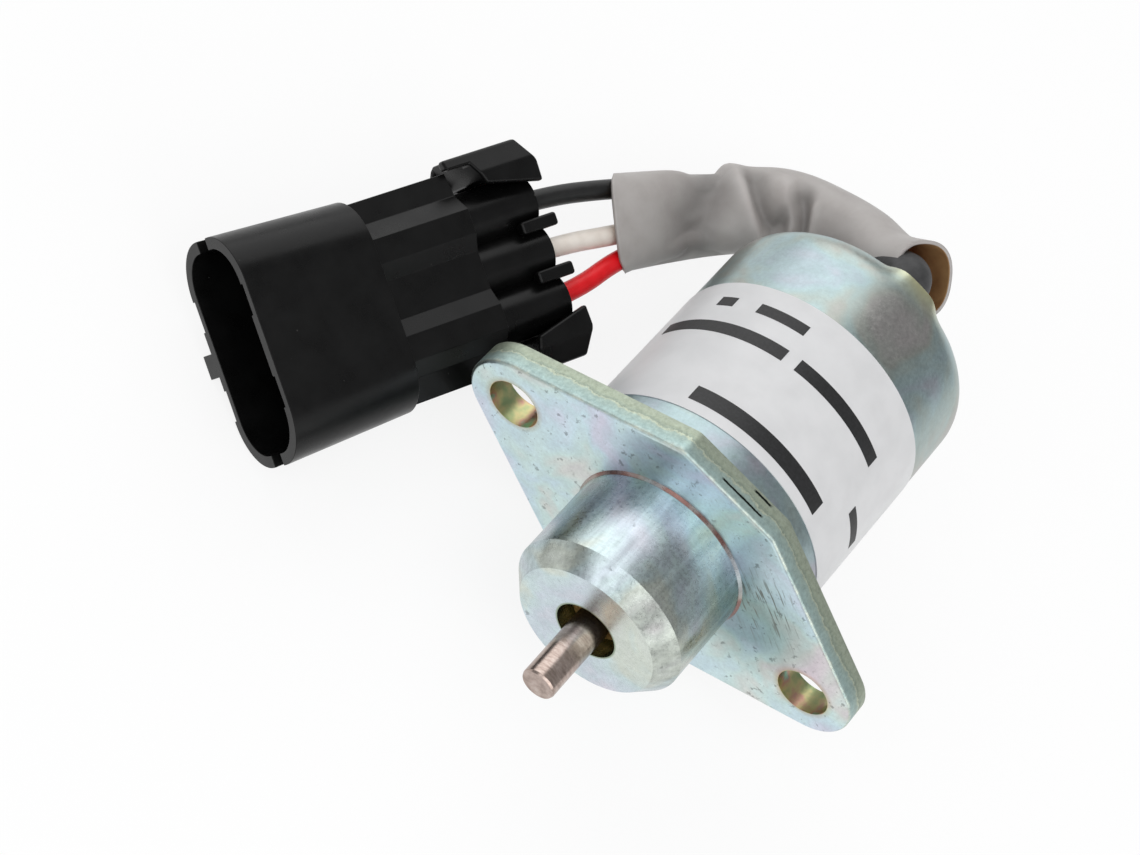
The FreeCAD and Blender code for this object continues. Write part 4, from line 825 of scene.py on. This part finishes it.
# Connector: a three-way housing moulded in black nylon, with its secondary lock. Every edge of a
# moulding is eased by the tool, so light runs along it, and the broad faces are satin and a little dusty.
def eased_copy(node, name, width, material):
    """A merged copy of a CAD node with its edges eased, down to the shallow creases."""
    flat_limit, crease_limit = 0.5, 14
    mesh = merged_copy(node)
    bmesh.ops.dissolve_limit(mesh, angle_limit=math.radians(flat_limit), verts=mesh.verts, edges=mesh.edges)
    set_creases(mesh, crease_limit)
    piece = add_piece(name, mesh, "solenoid", material)
    eased = ease_edges(piece, width, segments=3, limit=crease_limit)
    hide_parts(node)
    return piece, eased


# Polished by the tool, with a faint orange peel and some specks of dust
moulded_nylon, tree, shader, place = new_finish("moulded_black_nylon",
                                                {"Roughness": 0.30, "Specular IOR Level": 0.20})
skin = add(tree, "ShaderNodeTexNoise", {"Scale": 1 / 0.004, "Detail": 4, "Roughness": 0.6}, {"Vector": place})
black = add(tree, "ShaderNodeValToRGB", {"stops": [(0.35, "#080808"), (0.65, "#0c0c0c")]},
            {"Fac": skin.outputs[0]})
specks = add(tree, "ShaderNodeTexNoise", {"Scale": 1 / 0.0007, "Detail": 1}, {"Vector": place})
dusty = add(tree, "ShaderNodeMapRange", {"From Min": 0.79, "From Max": 0.86, "To Max": 0.4},
            {"Value": specks.outputs[0]})
dusted = add(tree, "ShaderNodeMix", {"data_type": "RGBA", 7: linear("#5c5c5a")},
             {0: dusty.outputs[0], 6: black.outputs[0]})
tree.links.new(dusted.outputs[2], shader.inputs["Base Color"])
sheen = add(tree, "ShaderNodeMapRange", {**noise_range, "To Min": 0.25, "To Max": 0.36},
            {"Value": skin.outputs[0]})
tree.links.new(sheen.outputs[0], shader.inputs["Roughness"])
orange_peel = add(tree, "ShaderNodeBump", {"Strength": 0.15, "Distance": 0.00008},
                  {"Height": skin.outputs[0]})
tree.links.new(orange_peel.outputs[0], shader.inputs["Normal"])
housing, _ = eased_copy("connector_housing", "connector_body", 0.00025, moulded_nylon)
lock, lock_edges = eased_copy("secondary_lock", "connector_lock", 0.0004, moulded_nylon)
lock_edges.use_clamp_overlap = False


# Seals and terminals: a ribbed silicone seal on each lead, and a tin-plated brass blade crimped to it.
# They stay inside the housing, and only the blades' tips can be seen through the shroud.
# The silicone is matt and olive green, and the tin plate a soft, bright grey
seal_silicone = mottled("moulded_silicone_seal", {"Roughness": 0.45}, [(0.35, "#4b5a3d"), (0.65, "#5c6c4b")],
                        patch=0.002)
tinned_brass = mottled("tin_plated_brass", {"Metallic": 1.0, "Roughness": 0.33},
                       [(0.35, "#aeb0b1"), (0.65, "#c6c8c9")], patch=0.0012, detail=4)
for colour in lead_routes:
    coat("cable_seal_" + colour, seal_silicone)
    coat("terminal_" + colour, tinned_brass)
for colour, lead in leads.items():
    carried = [nodes["cable_seal_" + colour], nodes["terminal_" + colour]]
    if colour == "black":
        carried += [sleeve, housing, lock]


# Studio: a plain white table that keeps the shadow, an even pale room and four soft lamps.
# To the camera and in reflections most of the table is its own glow, at a strength of 1, and the rest
# is its paint, which takes the shadow.
table_reach = 3
glow_share = 0.85
table_white = bpy.data.materials.new("white_table")
table_white.use_nodes = True
tree = table_white.node_tree
tree.nodes.clear()
paint = add(tree, "ShaderNodeBsdfDiffuse", {"Color": linear("#f4f4f4")})
glow = add(tree, "ShaderNodeEmission", {"Color": linear("#ffffff"), "Strength": 1.0})
ray = add(tree, "ShaderNodeLightPath")
seen = add(tree, "ShaderNodeMath", {"operation": "ADD"},
           {0: ray.outputs["Is Camera Ray"], 1: ray.outputs["Is Glossy Ray"]})
seen = add(tree, "ShaderNodeMath", {"operation": "ADD"},
           {0: seen.outputs[0], 1: ray.outputs["Is Transmission Ray"]})
share = add(tree, "ShaderNodeMath", {"operation": "MULTIPLY", 1: glow_share}, {0: seen.outputs[0]})
surface = add(tree, "ShaderNodeMixShader",
              links={0: share.outputs[0], 1: paint.outputs[0], 2: glow.outputs[0]})
add(tree, "ShaderNodeOutputMaterial", links={"Surface": surface.outputs[0]})
mesh = bmesh.new()
bmesh.ops.create_grid(mesh, x_segments=1, y_segments=1, size=table_reach,
                      matrix=Matrix.Translation((0, 0, cad_box[0].z)))
table = add_piece("studio_table", mesh, None, table_white)

room = bpy.data.worlds.new("pale_room")
room.use_nodes = True
backdrop = room.node_tree.nodes["Background"]
backdrop.inputs["Color"].default_value = linear("#d9dadb")
backdrop.inputs["Strength"].default_value = 0.52
bpy.context.scene.world = room

object_middle = Vector((-0.012, 0.018, 0.0))
for name, way, distance, size, power in (
    ("key_softbox", (-0.66, 0.54, 0.53), 0.75, 0.80, 2.9),
    ("top_softbox", (0.25, -0.35, 0.90), 0.90, 0.80, 3.2),
    ("front_softbox", (-0.41, -0.67, 0.62), 0.90, 0.55, 1.4),
    ("fill_softbox", (0.85, -0.25, 0.45), 0.80, 0.60, 1.9),
):
    lamp_data = bpy.data.lights.new(name, "AREA")
    lamp_data.shape = "SQUARE"
    lamp_data.size = size
    lamp_data.energy = power
    lamp = bpy.data.objects.new(name, lamp_data)
    lamp.location = object_middle + Vector(way).normalized() * distance
    lamp.rotation_euler = Vector(way).to_track_quat("Z", "Y").to_euler()
    bpy.context.scene.collection.objects.link(lamp)
